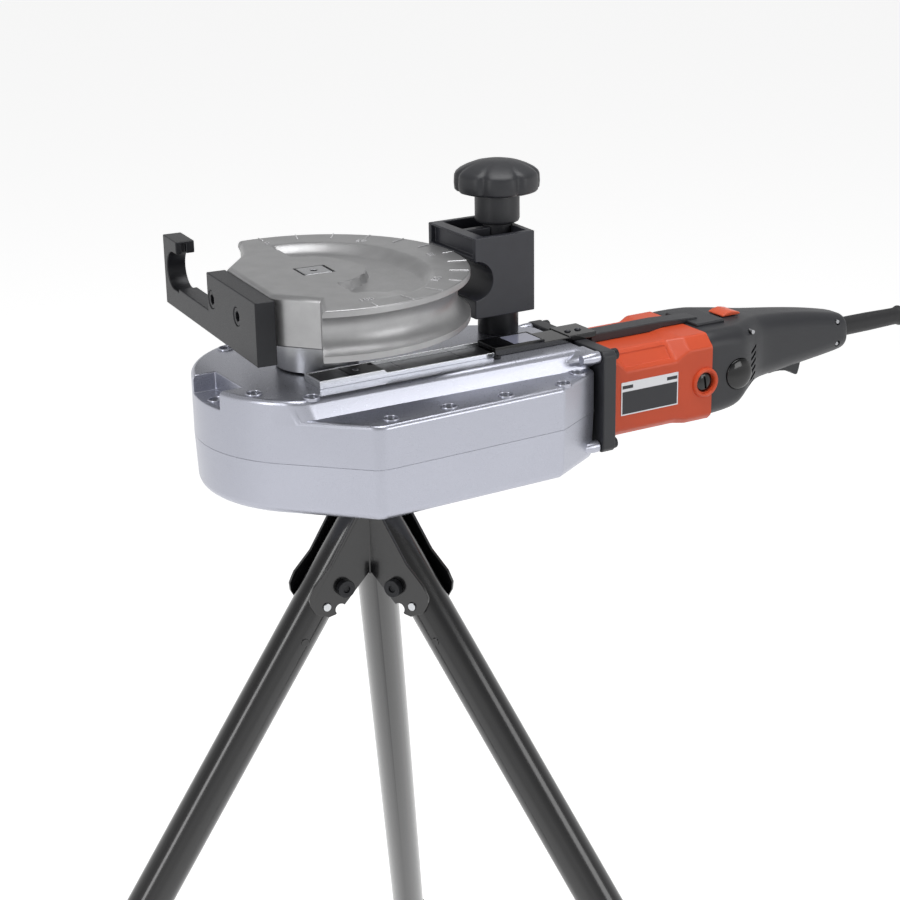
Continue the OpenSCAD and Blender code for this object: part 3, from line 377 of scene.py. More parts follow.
def finish(name, colour, metallic, roughness, grain, depth, blotch=0.06, rough_vary=0.06,
           stretch=(1, 1, 1), blotch_size=30, coat=0.0, coat_rough=0.05, dark=None):
    """A surface with grain of a size in mm, blotches of tone, and uneven gloss.

    grain and depth are the size and height of the fine relief; stretch draws the grain out
    along an axis for brushed or drawn metal; dark is the colour in the blotches' hollows.
    """
    made = bpy.data.materials.new(name)
    made.use_nodes = True
    tree = made.node_tree
    tree.nodes.clear()
    where = add(tree, "ShaderNodeTexCoord")
    place = add(tree, "ShaderNodeMapping", {"Vector": where.outputs["Object"], "Scale": stretch})
    fine = add(tree, "ShaderNodeTexNoise", {"Vector": place.outputs["Vector"],
                                            "Scale": 1 / (grain * MM), "Detail": 4.0,
                                            "Roughness": 0.6})
    broad = add(tree, "ShaderNodeTexNoise", {"Vector": where.outputs["Object"],
                                             "Scale": 1 / (blotch_size * MM), "Detail": 3.0,
                                             "Roughness": 0.55})
    base = linear(colour) if isinstance(colour, str) else colour
    tone = add(tree, "ShaderNodeMix", {0: 1.0, 6: base},
               data_type="RGBA", blend_type="MULTIPLY")
    shade = add(tree, "ShaderNodeMapRange", {"Value": broad.outputs["Fac"], "From Min": 0.3,
                                             "From Max": 0.7, "To Min": 1 - blotch, "To Max": 1.0})
    if dark is None:
        tree.links.new(shade.outputs["Result"], tone.inputs[7])
    else:
        tone.blend_type = "MIX"
        tone.inputs[7].default_value = linear(dark)
        hollow = add(tree, "ShaderNodeMapRange", {"Value": fine.outputs["Fac"], "From Min": 0.35,
                                                  "From Max": 0.75, "To Min": 0.0, "To Max": 1.0})
        tree.links.new(hollow.outputs["Result"], tone.inputs[0])
    gloss = add(tree, "ShaderNodeMapRange", {"Value": fine.outputs["Fac"], "From Min": 0.3,
                                             "From Max": 0.7,
                                             "To Min": max(0.02, roughness - rough_vary),
                                             "To Max": min(1.0, roughness + rough_vary)})
    relief = add(tree, "ShaderNodeBump", {"Height": fine.outputs["Fac"], "Strength": 0.35,
                                          "Distance": depth * MM})
    shader = add(tree, "ShaderNodeBsdfPrincipled", {
        "Base Color": tone.outputs[2], "Metallic": metallic,
        "Roughness": gloss.outputs["Result"], "Normal": relief.outputs["Normal"],
        "Coat Weight": coat, "Coat Roughness": coat_rough})
    add(tree, "ShaderNodeOutputMaterial", {"Surface": shader.outputs["BSDF"]})
    return made


# Each finish: colour, metallic, roughness, grain and relief in millimetres, and what else differs.
FINISHES = {
    # Sand-cast aluminium, blasted then faced: grey, soft sheen, fine pits under a millimetre.
    "cast_grey": ("#A8A8A9", 0.85, 0.42, 0.7, 0.12, dict(blotch=0.12, rough_vary=0.10,
                                                         blotch_size=16)),
    # Tops of the raised dial marks, faced bright after blasting.
    "faced_marks": ("#CCCCCE", 0.7, 0.30, 0.6, 0.02, dict(blotch=0.05, rough_vary=0.05)),
    # Die-cast aluminium under a silver clear coat: smooth, broad soft reflections.
    "housing_silver": ("#B6B8C3", 0.8, 0.30, 1.2, 0.02, dict(blotch=0.03, rough_vary=0.04,
                                                             stretch=(1, 1, 4), blotch_size=60)),
    # Black oxide on milled steel: near black, oily sheen.
    "black_steel": ("#202125", 0.35, 0.42, 0.6, 0.04, dict(blotch=0.15, rough_vary=0.08,
                                                           blotch_size=20)),
    # Gloss black powder coat: deep black, sharp long highlights, slight orange peel.
    "tripod_black": ("#0C0C0E", 0, 0.24, 3, 0.02, dict(blotch=0.10, rough_vary=0.03,
                                                       blotch_size=40, coat=0.5,
                                                       coat_rough=0.08)),
    # Ground steel: bright, fine grinding lines.
    "tool_steel": ("#A9AAAD", 1, 0.30, 0.5, 0.02, dict(blotch=0.05, stretch=(1, 1, 8))),
    # Bright zinc plate on screws: pale, mirror-like.
    "zinc_steel": ("#C6C8CB", 1, 0.22, 0.5, 0.01, dict(blotch=0.05)),
    # Cast tin bronze: warm, dull, slightly blotched.
    "bronze": ("#B88A4E", 1, 0.38, 0.8, 0.06, dict(blotch=0.12)),
    # Drawn copper: orange red, satin.
    "copper": ("#C07A54", 1, 0.30, 0.4, 0.02, dict(stretch=(6, 1, 1))),
    # Stacked electrical sheets: dark grey, edges of the sheets as fine lines.
    "iron": ("#4A4848", 0.8, 0.5, 0.5, 0.08, dict(stretch=(6, 1, 1))),
    # Bonded ferrite: dark, matt, speckled.
    "magnet": ("#303033", 0.2, 0.65, 0.4, 0.05, dict()),
    # Glass-filled nylon, spark-eroded mould: matt, fine even pimples.
    "black_plastic": ("#2A2B2F", 0, 0.46, 0.7, 0.09, dict(blotch=0.08, blotch_size=25)),
    # Moulded nylon from a polished mould: dark blue-grey, faint flow clouds.
    "block_plastic": ("#2E2F36", 0, 0.40, 1, 0.03, dict(blotch=0.14, blotch_size=12)),
    # Polished black moulding: mirror-like black.
    "gloss_black": ("#0B0B0D", 0, 0.12, 2, 0.005, dict(blotch=0.05, rough_vary=0.03)),
    # Cover moulded in black ABS: deep, satin, fine orange peel.
    "deep_black": ("#0E0E11", 0, 0.40, 1, 0.03, dict(rough_vary=0.05)),
    # Orange glass-filled nylon: saturated, satin, fine texture.
    "orange_plastic": ("#D9512A", 0, 0.42, 0.7, 0.05, dict(blotch=0.05, rough_vary=0.05)),
    # Orange switch cap: same nylon from a smoother mould.
    "switch_orange": ("#DE5A34", 0, 0.36, 0.7, 0.03, dict(blotch=0.04)),
    # Moulded rubber: black, matt, slightly dusty.
    "dark_rubber": ("#1B1B1D", 0, 0.58, 0.8, 0.05, dict(blotch=0.12, dark="#232325")),
    # Pressed fibre gasket: grey, dull, mottled.
    "gasket_fibre": ("#77797C", 0, 0.75, 0.5, 0.05, dict()),
    # Satin anodised sheet: pale, fine brushed lines along the rail.
    "sheet_silver": ("#D6D8DC", 0.9, 0.24, 0.4, 0.015, dict(blotch=0.03, rough_vary=0.05,
                                                            stretch=(0.05, 1, 1))),
    # Display window over a resting liquid crystal panel: lavender grey, glossy.
    "lcd": ("#8E90A4", 0, 0.12, 3, 0.004, dict(rough_vary=0.02, coat=0.6, coat_rough=0.04)),
    # Circuit board under solder mask: deep green, satin.
    "board_green": ("#1E5A35", 0, 0.35, 1, 0.03, dict()),
    # Blank foil plate: brushed aluminium foil, grey.
    "plate_grey": ("#D4D5D8", 0.7, 0.36, 0.4, 0.01, dict(stretch=(0.08, 1, 1))),
    # Dark lacquered field of the blank plate.
    "plate_field": ("#26272C", 0.1, 0.38, 0.8, 0.01, dict()),
    # Pressed carbon: black, dull, faintly grained.
    "carbon": ("#1D1D1D", 0.1, 0.6, 0.5, 0.04, dict()),
}
MATS = {}


def mat(slot):
    """The material of a slot, in the colour chosen in the panel where there is one."""
    if slot not in MATS:
        colour, *values, more = FINISHES[slot]
        chosen = getattr(bpy.context.scene.bender_colours, slot, None)
        if chosen is not None:
            colour = (*chosen, 1.0)
        MATS[slot] = finish(slot, colour, *values, **more)
    return MATS[slot]


# Geometry Nodes
def tree_of(name, sockets):
    """A Geometry Nodes tree with named inputs, and a table from input names to identifiers."""
    tree = bpy.data.node_groups.new(name, "GeometryNodeTree")
    ids = {}
    for label, kind in sockets:
        ids[label] = tree.interface.new_socket(
            name=label, in_out="INPUT", socket_type="NodeSocket" + kind).identifier
    tree.interface.new_socket(name="Geometry", in_out="OUTPUT", socket_type="NodeSocketGeometry")
    return tree, ids, add(tree, "NodeGroupInput"), add(tree, "NodeGroupOutput")


def finish_tree(tree, source, output, geometry):
    real = add(tree, "GeometryNodeRealizeInstances", {"Geometry": geometry})
    painted = add(tree, "GeometryNodeSetMaterial", {"Geometry": real.outputs["Geometry"],
                                                    "Material": source.outputs["Material"]})
    tree.links.new(painted.outputs["Geometry"], output.inputs["Geometry"])


def grown(tree, ids, values, points=None):
    """Runs a tree on a set of points and gives back its mesh as a shape in millimetres."""
    mesh = points or bpy.data.meshes.new("places")
    obj = linked("places", mesh)
    nodes = obj.modifiers.new("Repeat", "NODES")
    nodes.node_group = tree
    for label, value in values.items():
        nodes[ids[label]] = value
    bm = as_shape(evaluated(obj))
    bm.transform(Matrix.Scale(1 / MM, 4))
    bpy.data.objects.remove(obj)
    bpy.data.meshes.remove(mesh)
    return bm


def copies(name, shape, places, slot):
    """Copies of a small part on places, each a (point, direction) pair, turned at random."""
    tree, ids, source, output = tree_of(name, [
        ("Geometry", "Geometry"), ("Part", "Object"), ("Spin", "Float"), ("Seed", "Int"),
        ("Material", "Material")])
    part = add(tree, "GeometryNodeObjectInfo", {"Object": source.outputs["Part"]},
               transform_space="ORIGINAL")
    axis = add(tree, "GeometryNodeInputNamedAttribute", {"Name": "axis"}, data_type="FLOAT_VECTOR")
    aim = add(tree, "FunctionNodeAlignRotationToVector", {"Vector": axis.outputs["Attribute"]},
              axis="Z")
    chance = add(tree, "FunctionNodeRandomValue", {"Min": 0.0, "Max": source.outputs["Spin"],
                                                   "Seed": source.outputs["Seed"]},
                 data_type="FLOAT")
    about = add(tree, "FunctionNodeAxisAngleToRotation", {"Axis": (0, 0, 1),
                                                          "Angle": chance.outputs[1]})
    turn = add(tree, "FunctionNodeRotateRotation", {"Rotation": aim.outputs["Rotation"],
                                                    "Rotate By": about.outputs["Rotation"]},
               rotation_space="LOCAL")
    spread = add(tree, "GeometryNodeInstanceOnPoints", {
        "Points": source.outputs["Geometry"], "Instance": part.outputs["Geometry"],
        "Rotation": turn.outputs["Rotation"]})
    finish_tree(tree, source, output, spread.outputs["Instances"])
    shape.transform(Matrix.Scale(MM, 4))
    mesh = as_mesh(shape, "part")
    model = bpy.data.objects.new("part", mesh)
    points = bpy.data.meshes.new("places")
    points.from_pydata([Vector(p) * MM for p, _ in places], [], [])
    stored = points.attributes.new("axis", "FLOAT_VECTOR", "POINT")
    for i, (_, d) in enumerate(places):
        stored.data[i].vector = Vector(d).normalized()
    bm = grown(tree, ids, {"Part": model, "Spin": pi, "Seed": SCREW_SEED, "Material": mat(slot)},
               points)
    bpy.data.objects.remove(model)
    bpy.data.meshes.remove(mesh)
    bpy.data.node_groups.remove(tree)
    return bm


def dial_marks(radius, long, short, width, height, count, step):
    """Raised marks along the former's rim; every third one is short and has a number."""
    tree, ids, source, output = tree_of("Dial marks", [
        ("Geometry", "Geometry"), ("Radius", "Float"), ("Long", "Float"), ("Short", "Float"),
        ("Width", "Float"), ("Height", "Float"), ("Count", "Int"), ("Step", "Float"),
        ("Material", "Material")])
    value = source.outputs
    index = add(tree, "GeometryNodeInputIndex").outputs["Index"]
    angle = add(tree, "ShaderNodeMath", {0: index, 1: value["Step"], 2: pi / 2},
                operation="MULTIPLY_ADD").outputs[0]
    third = add(tree, "ShaderNodeMath", {0: index, 1: 3.0}, operation="MODULO").outputs[0]
    between = add(tree, "ShaderNodeMath", {0: third, 1: 0.5}, operation="GREATER_THAN").outputs[0]
    length = add(tree, "ShaderNodeMix", {0: between, 2: value["Short"], 3: value["Long"]},
                 data_type="FLOAT").outputs[0]
    half = add(tree, "ShaderNodeMath", {0: length, 1: -0.5, 2: value["Radius"]},
               operation="MULTIPLY_ADD").outputs[0]
    spot = add(tree, "ShaderNodeCombineXYZ")
    for side, way in (("X", "COSINE"), ("Y", "SINE")):
        share = add(tree, "ShaderNodeMath", {0: angle}, operation=way).outputs[0]
        reach = add(tree, "ShaderNodeMath", {0: half, 1: share}, operation="MULTIPLY").outputs[0]
        tree.links.new(reach, spot.inputs[side])
    points = add(tree, "GeometryNodePoints", {"Count": value["Count"],
                                              "Position": spot.outputs[0]})
    mark = add(tree, "GeometryNodeMeshCube", {"Size": (1, 1, 1)})
    size = add(tree, "ShaderNodeCombineXYZ", {"X": length, "Y": value["Width"],
                                              "Z": value["Height"]}).outputs[0]
    heading = add(tree, "ShaderNodeCombineXYZ", {"Z": angle}).outputs[0]
    spread = add(tree, "GeometryNodeInstanceOnPoints", {
        "Points": points.outputs[0], "Instance": mark.outputs["Mesh"], "Rotation": heading,
        "Scale": size})
    finish_tree(tree, source, output, spread.outputs["Instances"])
    bm = grown(tree, ids, {"Radius": radius * MM, "Long": long * MM, "Short": short * MM,
                           "Width": width * MM, "Height": height * MM, "Count": count,
                           "Step": step, "Material": mat("faced_marks")})
    bpy.data.node_groups.remove(tree)
    return bm


# Former, hook and spindle
# The recess in the former: radii of its rim, of the foot of its sloped wall and of the boss,
# each by angle round the spindle.
RECESS_RIM = [(-90, 95.5), (-75, 94.8), (-64, 94.3), (-49, 89.4), (-30, 85), (-9, 80), (15, 78.5),
              (40, 82.5), (60, 84.7), (77, 85.6), (92, 83.5)]
RECESS_FOOT = [(-90, 88), (-60, 86), (-34, 76.5), (-8, 65), (31, 63), (62, 70), (82, 73), (92, 73)]
RECESS_BOSS = [(-90, 40.8), (-40, 36.3), (-24, 36), (22, 33.5), (58, 39), (74, 41), (92, 42)]
RECESS_DEEP = 6.0


def read_off(table, angle):
    """A value from a table of (angle, value), in a straight line between its points."""
    for (a, u), (b, v) in zip(table, table[1:]):
        if angle <= b:
            t = max(0.0, (angle - a) / (b - a))
            return u + (v - u) * t
    return table[-1][1]


def eased(t):
    t = min(1.0, max(0.0, t))
    return t * t * (3 - 2 * t)


def recess_depth(r, angle):
    """How deep the former's top is sunk at a radius and an angle in degrees."""
    if angle < -93 or angle > 95:
        return 0.0
    rim, foot = read_off(RECESS_RIM, angle), read_off(RECESS_FOOT, angle)
    boss = read_off(RECESS_BOSS, angle)
    wall = eased((rim - r) / (rim - foot))
    inner = eased((r - boss) / 3.0)
    x = r * cos(radians(angle))
    start = 1.0 if angle < 0 else eased((x + 1.0) / 3.0)
    outer_ramp, inner_ramp = eased((angle + 88) / 34), eased(x / 3.0)
    if angle > -50:
        ramp = outer_ramp if r > 68 else inner_ramp
    else:
        blend = eased((r - 66) / 6)
        ramp = blend * outer_ramp + (1 - blend) * inner_ramp
    return RECESS_DEEP * wall * inner * start * ramp


def former_blank():
    """The wheel: a machined rim with the pipe groove, and a cast top with its recess."""
    steps = 288
    half = acos((BEND_R - FORMER_R) / GROOVE_R)
    turns = [half - 2 * half * i / 20 for i in range(21)]
    groove = [(BEND_R - GROOVE_R * cos(t), -FORMER_H / 2 + GROOVE_R * sin(t)) for t in turns]
    rim = [(109.3, -0.1), (109.8, -0.5), (FORMER_R, -1.1)] + groove + [
        (FORMER_R, -34.9), (109.7, -35.6), (108.9, -FORMER_H), (50, -FORMER_H), (50, -33),
        (42, -33), (42, -FORMER_H)]
    bm = bmesh.new()
    top = bm.verts.new((0, 0, 0))
    radii = [6, 12, 18, 24, 29] + [31 + 1.5 * i for i in range(45)] + [98, 102, 106, 108.6]
    rings = []
    for r in radii:
        ring = []
        for i, (x, y, _) in enumerate(circle(r, 0, steps)):
            angle = 360 * i / steps
            signed = angle if angle <= 180 else angle - 360
            ring.append(bm.verts.new((x, y, -recess_depth(r, signed))))
        rings.append(ring)
    rings += [[bm.verts.new(p) for p in circle(r, z, steps)] for r, z in rim]
    under = bm.verts.new((0, 0, -FORMER_H))
    for i in range(steps):
        j = (i + 1) % steps
        bm.faces.new((top, rings[0][i], rings[0][j]))
        bm.faces.new((under, rings[-1][j], rings[-1][i]))
        for a, b in zip(rings, rings[1:]):
            bm.faces.new((a[i], b[i], b[j], a[j]))
    return outward(bm)


CUT_AWAY = [(-130, 130), (-130, -130), (-50, -130), (-36.4, -102.5), (-25.8, -73.3),
            (-51.5, -47.4), (-51.5, 37.1), (-27.7, 70.6), (-16.7, 104), (-16.7, 130)]


def number(text, size, height, angle, radius):
    """A raised number on the dial, its foot towards the rim."""
    curve = bpy.data.curves.new("number", "FONT")
    curve.body = text
    curve.size = size
    curve.extrude = height / 2
    curve.offset = NUMBER_STROKE
    curve.align_x = "CENTER"
    curve.align_y = "CENTER"
    obj = linked("number", curve)
    bm = as_shape(evaluated(obj))
    bpy.data.objects.remove(obj)
    bpy.data.curves.remove(curve)
    bmesh.ops.remove_doubles(bm, verts=bm.verts, dist=WELD / 2)
    turned(bm, angle + pi / 2)
    at(bm, (radius * cos(angle), radius * sin(angle), height / 2 - 0.02))
    return bm


def build_former(sizes):
    edge = sizes.casting_edge / MM
    tool = stacked(lambda d: inset(CUT_AWAY, -d), (
        (-40, 0.9), (-FORMER_H, 0.9), (-FORMER_H + 0.9, 0), (-edge, 0),
        (-edge * 0.5, edge * 0.13), (-edge * 0.13, edge * 0.5), (0.0, edge), (2, edge + 0.3)))
    window = block((-WINDOW_X, -WINDOW_Y, -WINDOW_DEEP), (WINDOW_X, WINDOW_Y, WINDOW_DEEP))
    hole = block((-DRIVE_HOLE, -DRIVE_HOLE, -FORMER_H - 4), (DRIVE_HOLE, DRIVE_HOLE, 0))
    sockets = [at(rod(4, 0, 19, 32), (-52.5, y, -20), AXIS_X) for y in (-20, 31)]
    bm = worked(former_blank(), tool, window, hole, *sockets)
    piece("former_wheel", turned(bm, REST_TURN), "former", "cast_grey",
          "bending_former", smooth=40)
    height = sizes.mark_height / MM
    marks = dial_marks(FORMER_R - 0.6, 14.0, 9.0, 1.0, 2 * height, MARK_COUNT, -MARK_STEP)
    softened(marks, 0.2, 1)
    digits = [number(t, NUMBER_SIZE, height, radians(90 - 45 * i), NUMBER_R)
              for i, t in enumerate(("0", "45", "90", "135", "180"))]
    scale = together([marks, *digits])
    piece("former_dial_marks", turned(scale, REST_TURN), "former", "cast_grey",
          look="faced_marks")
    dressed("hook_bracket", 0.9, "former", "black_steel", steps=3)
    dressed("hook_screws", 0.35, "former", "zinc_steel", look="black_steel")
    dressed("spindle", 0.5, "former", "tool_steel")


# Gear housing
SIDE_R = NOSE_R - 0.05
BULGE = 4.2
FAR_ANGLE = radians(61.875)
FAR_CORNER_X = 153
OUTLINE = arc(NOSE_R, FAR_ANGLE, radians(225), 58) + [
    (NEAR_SIDE + BULGE - sqrt(2) * SIDE_R, -NEAR_SIDE - BULGE), (REAR_X - 43, -NEAR_SIDE),
    (REAR_X, 25 - NEAR_SIDE), (REAR_X, -8),
    (FAR_CORNER_X, (SIDE_R - FAR_CORNER_X * cos(FAR_ANGLE)) / sin(FAR_ANGLE))]
ARC_POINTS = 59
CORNERS = (15.0, 6.0, 5.0, 5.0, 5.0)
DECK_CORNER = 24.0
FAR_ROW = 79.0


def polar(r, degrees_round):
    return (r * cos(radians(degrees_round)), r * sin(radians(degrees_round)))


def far_row(s):
    c, d = cos(FAR_ANGLE), sin(FAR_ANGLE)
    return (FAR_ROW * c + s * d, FAR_ROW * d - s * c)


SCREWS = [(*p, PLATEAU) for p in (polar(80, -150), polar(80, -120), polar(80, 120), polar(80, 75),
                                  far_row(50), far_row(100))] + \
         [(*p, SHELF) for p in ((2, -103.5), (48, -103), (94, -103), (142, -103), (165, -87.5),
                                (-80, 0))]
SCREW_PLACES = [(p, AXIS_Z) for p in SCREWS]
BOSS_IN = 13.4
REAR_BOSSES = [(REAR_X - BOSS_IN, y, z) for y, z in ADAPTER_BOLTS]


def rounded_levels(low, high, radius, steps=5):
    """Heights and insets of an upright solid whose top edge is rounded."""
    turns = [pi / 2 * i / steps for i in range(steps + 1)]
    return [(low, 0.0)] + [(high - radius * (1 - sin(t)), radius * (1 - cos(t))) for t in turns]


def eased_corners(points, first, radii, steps=6):
    """An outline whose corners from the first one on are turned into arcs."""
    made = list(points[:first])
    for i, radius in zip(range(first, len(points)), radii):
        a, b, c = (Vector(points[(i + k) % len(points)]) for k in (-1, 0, 1))
        u, v = (a - b).normalized(), (c - b).normalized()
        half = acos(max(-1.0, min(1.0, u.dot(v)))) / 2
        centre = b + (u + v).normalized() * radius / sin(half)
        start, end = b + u * radius / tan(half) - centre, b + v * radius / tan(half) - centre
        sweep = pi - 2 * half
        for k in range(steps + 1):
            t = k / steps
            made.append(tuple(centre + (start * sin((1 - t) * sweep) + end * sin(t * sweep))
                              / sin(sweep)))
    return made


def wall_outline(grow=0.0):
    """The housing's outline, moved inwards, with its upright corners rounded."""
    return eased_corners(inset(OUTLINE, grow), ARC_POINTS, [max(0.8, r - grow) for r in CORNERS])


def deck_outline(z, grow=0.0):
    """The outline above the near shelf, whose near side slopes."""
    down = (PLATEAU - z) / (PLATEAU - SHELF)
    y = -74.0 - 4.0 * down
    corner = OUTLINE[ARC_POINTS][0] + OUTLINE[ARC_POINTS][1]
    row = (OUTLINE[:ARC_POINTS] + [(corner - y, y), (REAR_X, y - 4.0 * down)]
           + OUTLINE[ARC_POINTS + 3:])
    return eased_corners(inset(row, grow), ARC_POINTS,
                         [max(0.8, r - grow) for r in (DECK_CORNER, *CORNERS[2:])])


# Sections of the swell that leads from the slope to the upper near boss: x, y, z and radius.
FAIRING = [(158, -75, -77.5, 2), (163, -76.6, -76.5, 2.7), (167.6, -79.6, -75.2, 3.5),
           (171, -82.6, -74.0, 4.1), (174.5, -85.6, -72.9, 4.5), (178, -87.2, -72.4, 4.7),
           (180.2, -87.5, -72.3, 4.6), (180.9, -87.4, -72.4, 4.2)]


def deck_skin(levels):
    return loft([[(x, y, z) for x, y in deck_outline(z, d)] for z, d in levels])


def rear_boss(place):
    """A boss for an adapter bolt, drawn out of the wall with a taper."""
    return at(lathe([(0, 0), (3.2, 0), (3.5, 2.2), (4.0, 5), (4.4, 8), (4.6, 10.5), (4.6, 14.0),
                     (4.4, 14.6), (3.9, 14.9), (0, 14.9)], 48), place, AXIS_X)


def build_housing(sizes):
    edge = sizes.casting_edge / MM
    parting, rim = SPLIT + PARTING, 2 * PARTING
    walls = stacked(wall_outline, [(parting, rim)] + rounded_levels(parting + rim, SHELF, edge))
    deck = deck_skin([(SHELF - 4, 0.02)] + rounded_levels(SHELF - 2, PLATEAU, edge)[1:])
    upper = worked(walls, deck, how="UNION")
    upper = worked(upper, block((-NOSE_R - 5, -22, SHELF), (-70, 22, PLATEAU + 20)))
    softened(upper, 0.8, 3, lambda m, e: m.x < -66 and abs(m.y) < 24 and m.z > SHELF - 2, angle=50)
    room = worked(prism(inset(OUTLINE, WALL), parting - 1, SHELF - 6),
                  deck_skin([(SHELF - 8, WALL), (PLATEAU - 8, WALL)]), how="UNION")
    cavity = worked(room, block((-NOSE_R, -30, SHELF - 6), (-62, 30, PLATEAU)))
    bosses = [rear_boss(p) for p in REAR_BOSSES if p[2] > SPLIT]
    upper = worked(upper, cavity, at(rod(SEAT_R, -20, 2, 64), (0, 0, PLATEAU)))
    turns = [radians(90 + 17 * k) for k in range(11)]
    fairing = loft([[(x, -71.5, -86), (x, -71.5, z + r)]
                    + [(x, y + r * cos(t), z + r * sin(t)) for t in turns]
                    for x, y, z, r in FAIRING])
    upper = worked(upper, fairing, how="UNION")
    rim_shape = lathe([(0, -1.5), (6, -1.5), (6, 0.5), (5.85, 0.85), (5.5, 1.0), (0, 1.0)], 40)
    rims = copies("Screw rims", rim_shape, SCREW_PLACES, "housing_silver")
    upper = worked(upper, rims, *bosses, how="UNION")
    bore = lathe([(0, -6), (4.5, -6), (4.5, 0.3), (5.1, 1.2), (5.1, 3), (0, 3)], 40)
    bores = copies("Screw bores", bore, SCREW_PLACES, "housing_silver")
    threads = copies("Screw threads", rod(2.5, -35, -5, 24), SCREW_PLACES, "housing_silver")
    upper = worked(upper, bores, threads)
    piece("housing_upper_cast", upper, "housing", "housing_silver", "upper_housing")

    fillet, draft = 7.0, 1.3
    rings = [(SPLIT - PARTING, rim), (SPLIT - PARTING - rim, 0.0), (BOTTOM + fillet, draft)]
    for i in range(1, 7):
        turn = radians(15 * i)
        rings.append((BOTTOM + fillet * (1 - sin(turn)), draft + fillet * (1 - cos(turn))))
    lower = stacked(wall_outline, rings)
    lower = worked(lower, prism(inset(OUTLINE, WALL + 1), BOTTOM + WALL, SPLIT + 1))
    bosses = [rear_boss(p) for p in REAR_BOSSES if p[2] < SPLIT]
    lower = worked(lower, *bosses, how="UNION")
    piece("housing_lower_cast", lower, "housing", "housing_silver", "lower_housing")
    head = socket_head(4.2, 5.0, 0.6, 2.5, 3.0, (0, 0, -6))
    heads = copies("Housing screw heads", head, SCREW_PLACES, "tool_steel")
    shank = lathe([(0, -36), (2.2, -36), (2.5, -35.5), (2.5, -5.9), (0, -5.9)], 24)
    shanks = copies("Housing screw shanks", shank, SCREW_PLACES, "tool_steel")
    piece("housing_screw_set", together([heads, shanks]), "housing", "tool_steel",
          "housing_screws")


# Counter-former
KNOB_LOBES = 7
KNOB_STEPS = 52 * KNOB_LOBES
# The star knob's head from its foot up: height, radius and depth of the grooves.
KNOB_HEAD = [(38.2, 22.0, 0.3), (38.4, 27.5, 1.4), (39.2, 30.0, 1.9), (40.6, 31.3, 2.2),
             (45, 31.7, 2.3), (50.5, 31.4, 2.3), (52.6, 30.4, 2.0), (54.6, 28.0, 1.4),
             (57.0, 23.5, 0.7), (59.3, 17.5, 0.2), (60.8, 10.5, 0.0), (61.6, 4.0, 0.0)]


def knob_ring(radius, height, notch):
    """One ring of the star knob: wide lobes with narrow rounded grooves between them."""
    turns = [2 * pi * i / KNOB_STEPS for i in range(KNOB_STEPS)]
    reach = [radius - notch * abs(cos(KNOB_LOBES * t / 2)) ** 14 for t in turns]
    return [(r * cos(t), r * sin(t), height) for r, t in zip(reach, turns)]


def build_counter_former():
    dressed("counter_former", 0.8, "block", "block_plastic", steps=3)
    dressed("block_post", 0.6, "housing", "black_steel")
    head = loft([knob_ring(r, z, n) for z, r, n in KNOB_HEAD])
    collar = lathe([(0, 2), (10.5, 2), (10.5, 15), (14, 15.4), (15.9, 16.4), (16.6, 18.2),
                    (16.6, 34), (15.6, 36.5), (15.2, 40), (0, 40)], 72)
    stem = lathe([(0, -56), (5.4, -56), (6, -55.4), (6, 3), (0, 3)], 40)
    knob = worked(head, collar, stem, how="UNION")
    at(knob, (BLOCK_X, 0, 0), spin=radians(12.7))
    piece("star_knob", knob, "knob", "black_plastic", "clamping_knob", smooth=40)


# Motor
def octagon(width, height, c):
    """A rectangle with cut corners, which are small at its foot."""
    w, h, low = width / 2, height / 2, min(c, 5)
    return [(-w, -h + low), (-w + low, -h), (w - low, -h), (w, -h + low), (w, h - c), (w - c, h),
            (-w + c, h), (-w, h - c)]


def along_motor(sections):
    """A loft along X round the motor's axis; sections are (x, width, height, corners)."""
    return loft([[(x, MOTOR_Y + a, MOTOR_Z + b) for a, b in octagon(w, h, c)]
                 for x, w, h, c in sections])


# Profiles of the rims and caps round the brushes, as (radius, distance from the middle plane).
BRUSH_RING = [(0, 38), (11.5, 38), (11.5, 45.6), (11.2, 46.6), (10.6, 47.2), (9.9, 47.5),
              (9.2, 47.3), (8.6, 46.7), (8.2, 45.6), (8.0, 43.5), (0, 43.5)]
BRUSH_CAP = [(0, 41), (7.4, 41), (7.4, 43.0), (6.9, 44.2), (5.4, 45.0), (3.2, 45.3), (0, 45.4)]
# Side view of the cable duct from the adapter to the switch, as (x, z).
DUCT_SIDE = [(202.2, -74.4), (264.5, -74.4), (266, -72.6), (299, -72.6), (302, -71.6),
             (300, -69.4), (264, -67.5), (202.2, -67.5)]


def at_brushes(shape):
    """Two copies of a shape, facing the near and the far side from the brushes' axis."""
    return [at(shape(), BRUSH_AT, (0, s, 0)) for s in (-1, 1)]


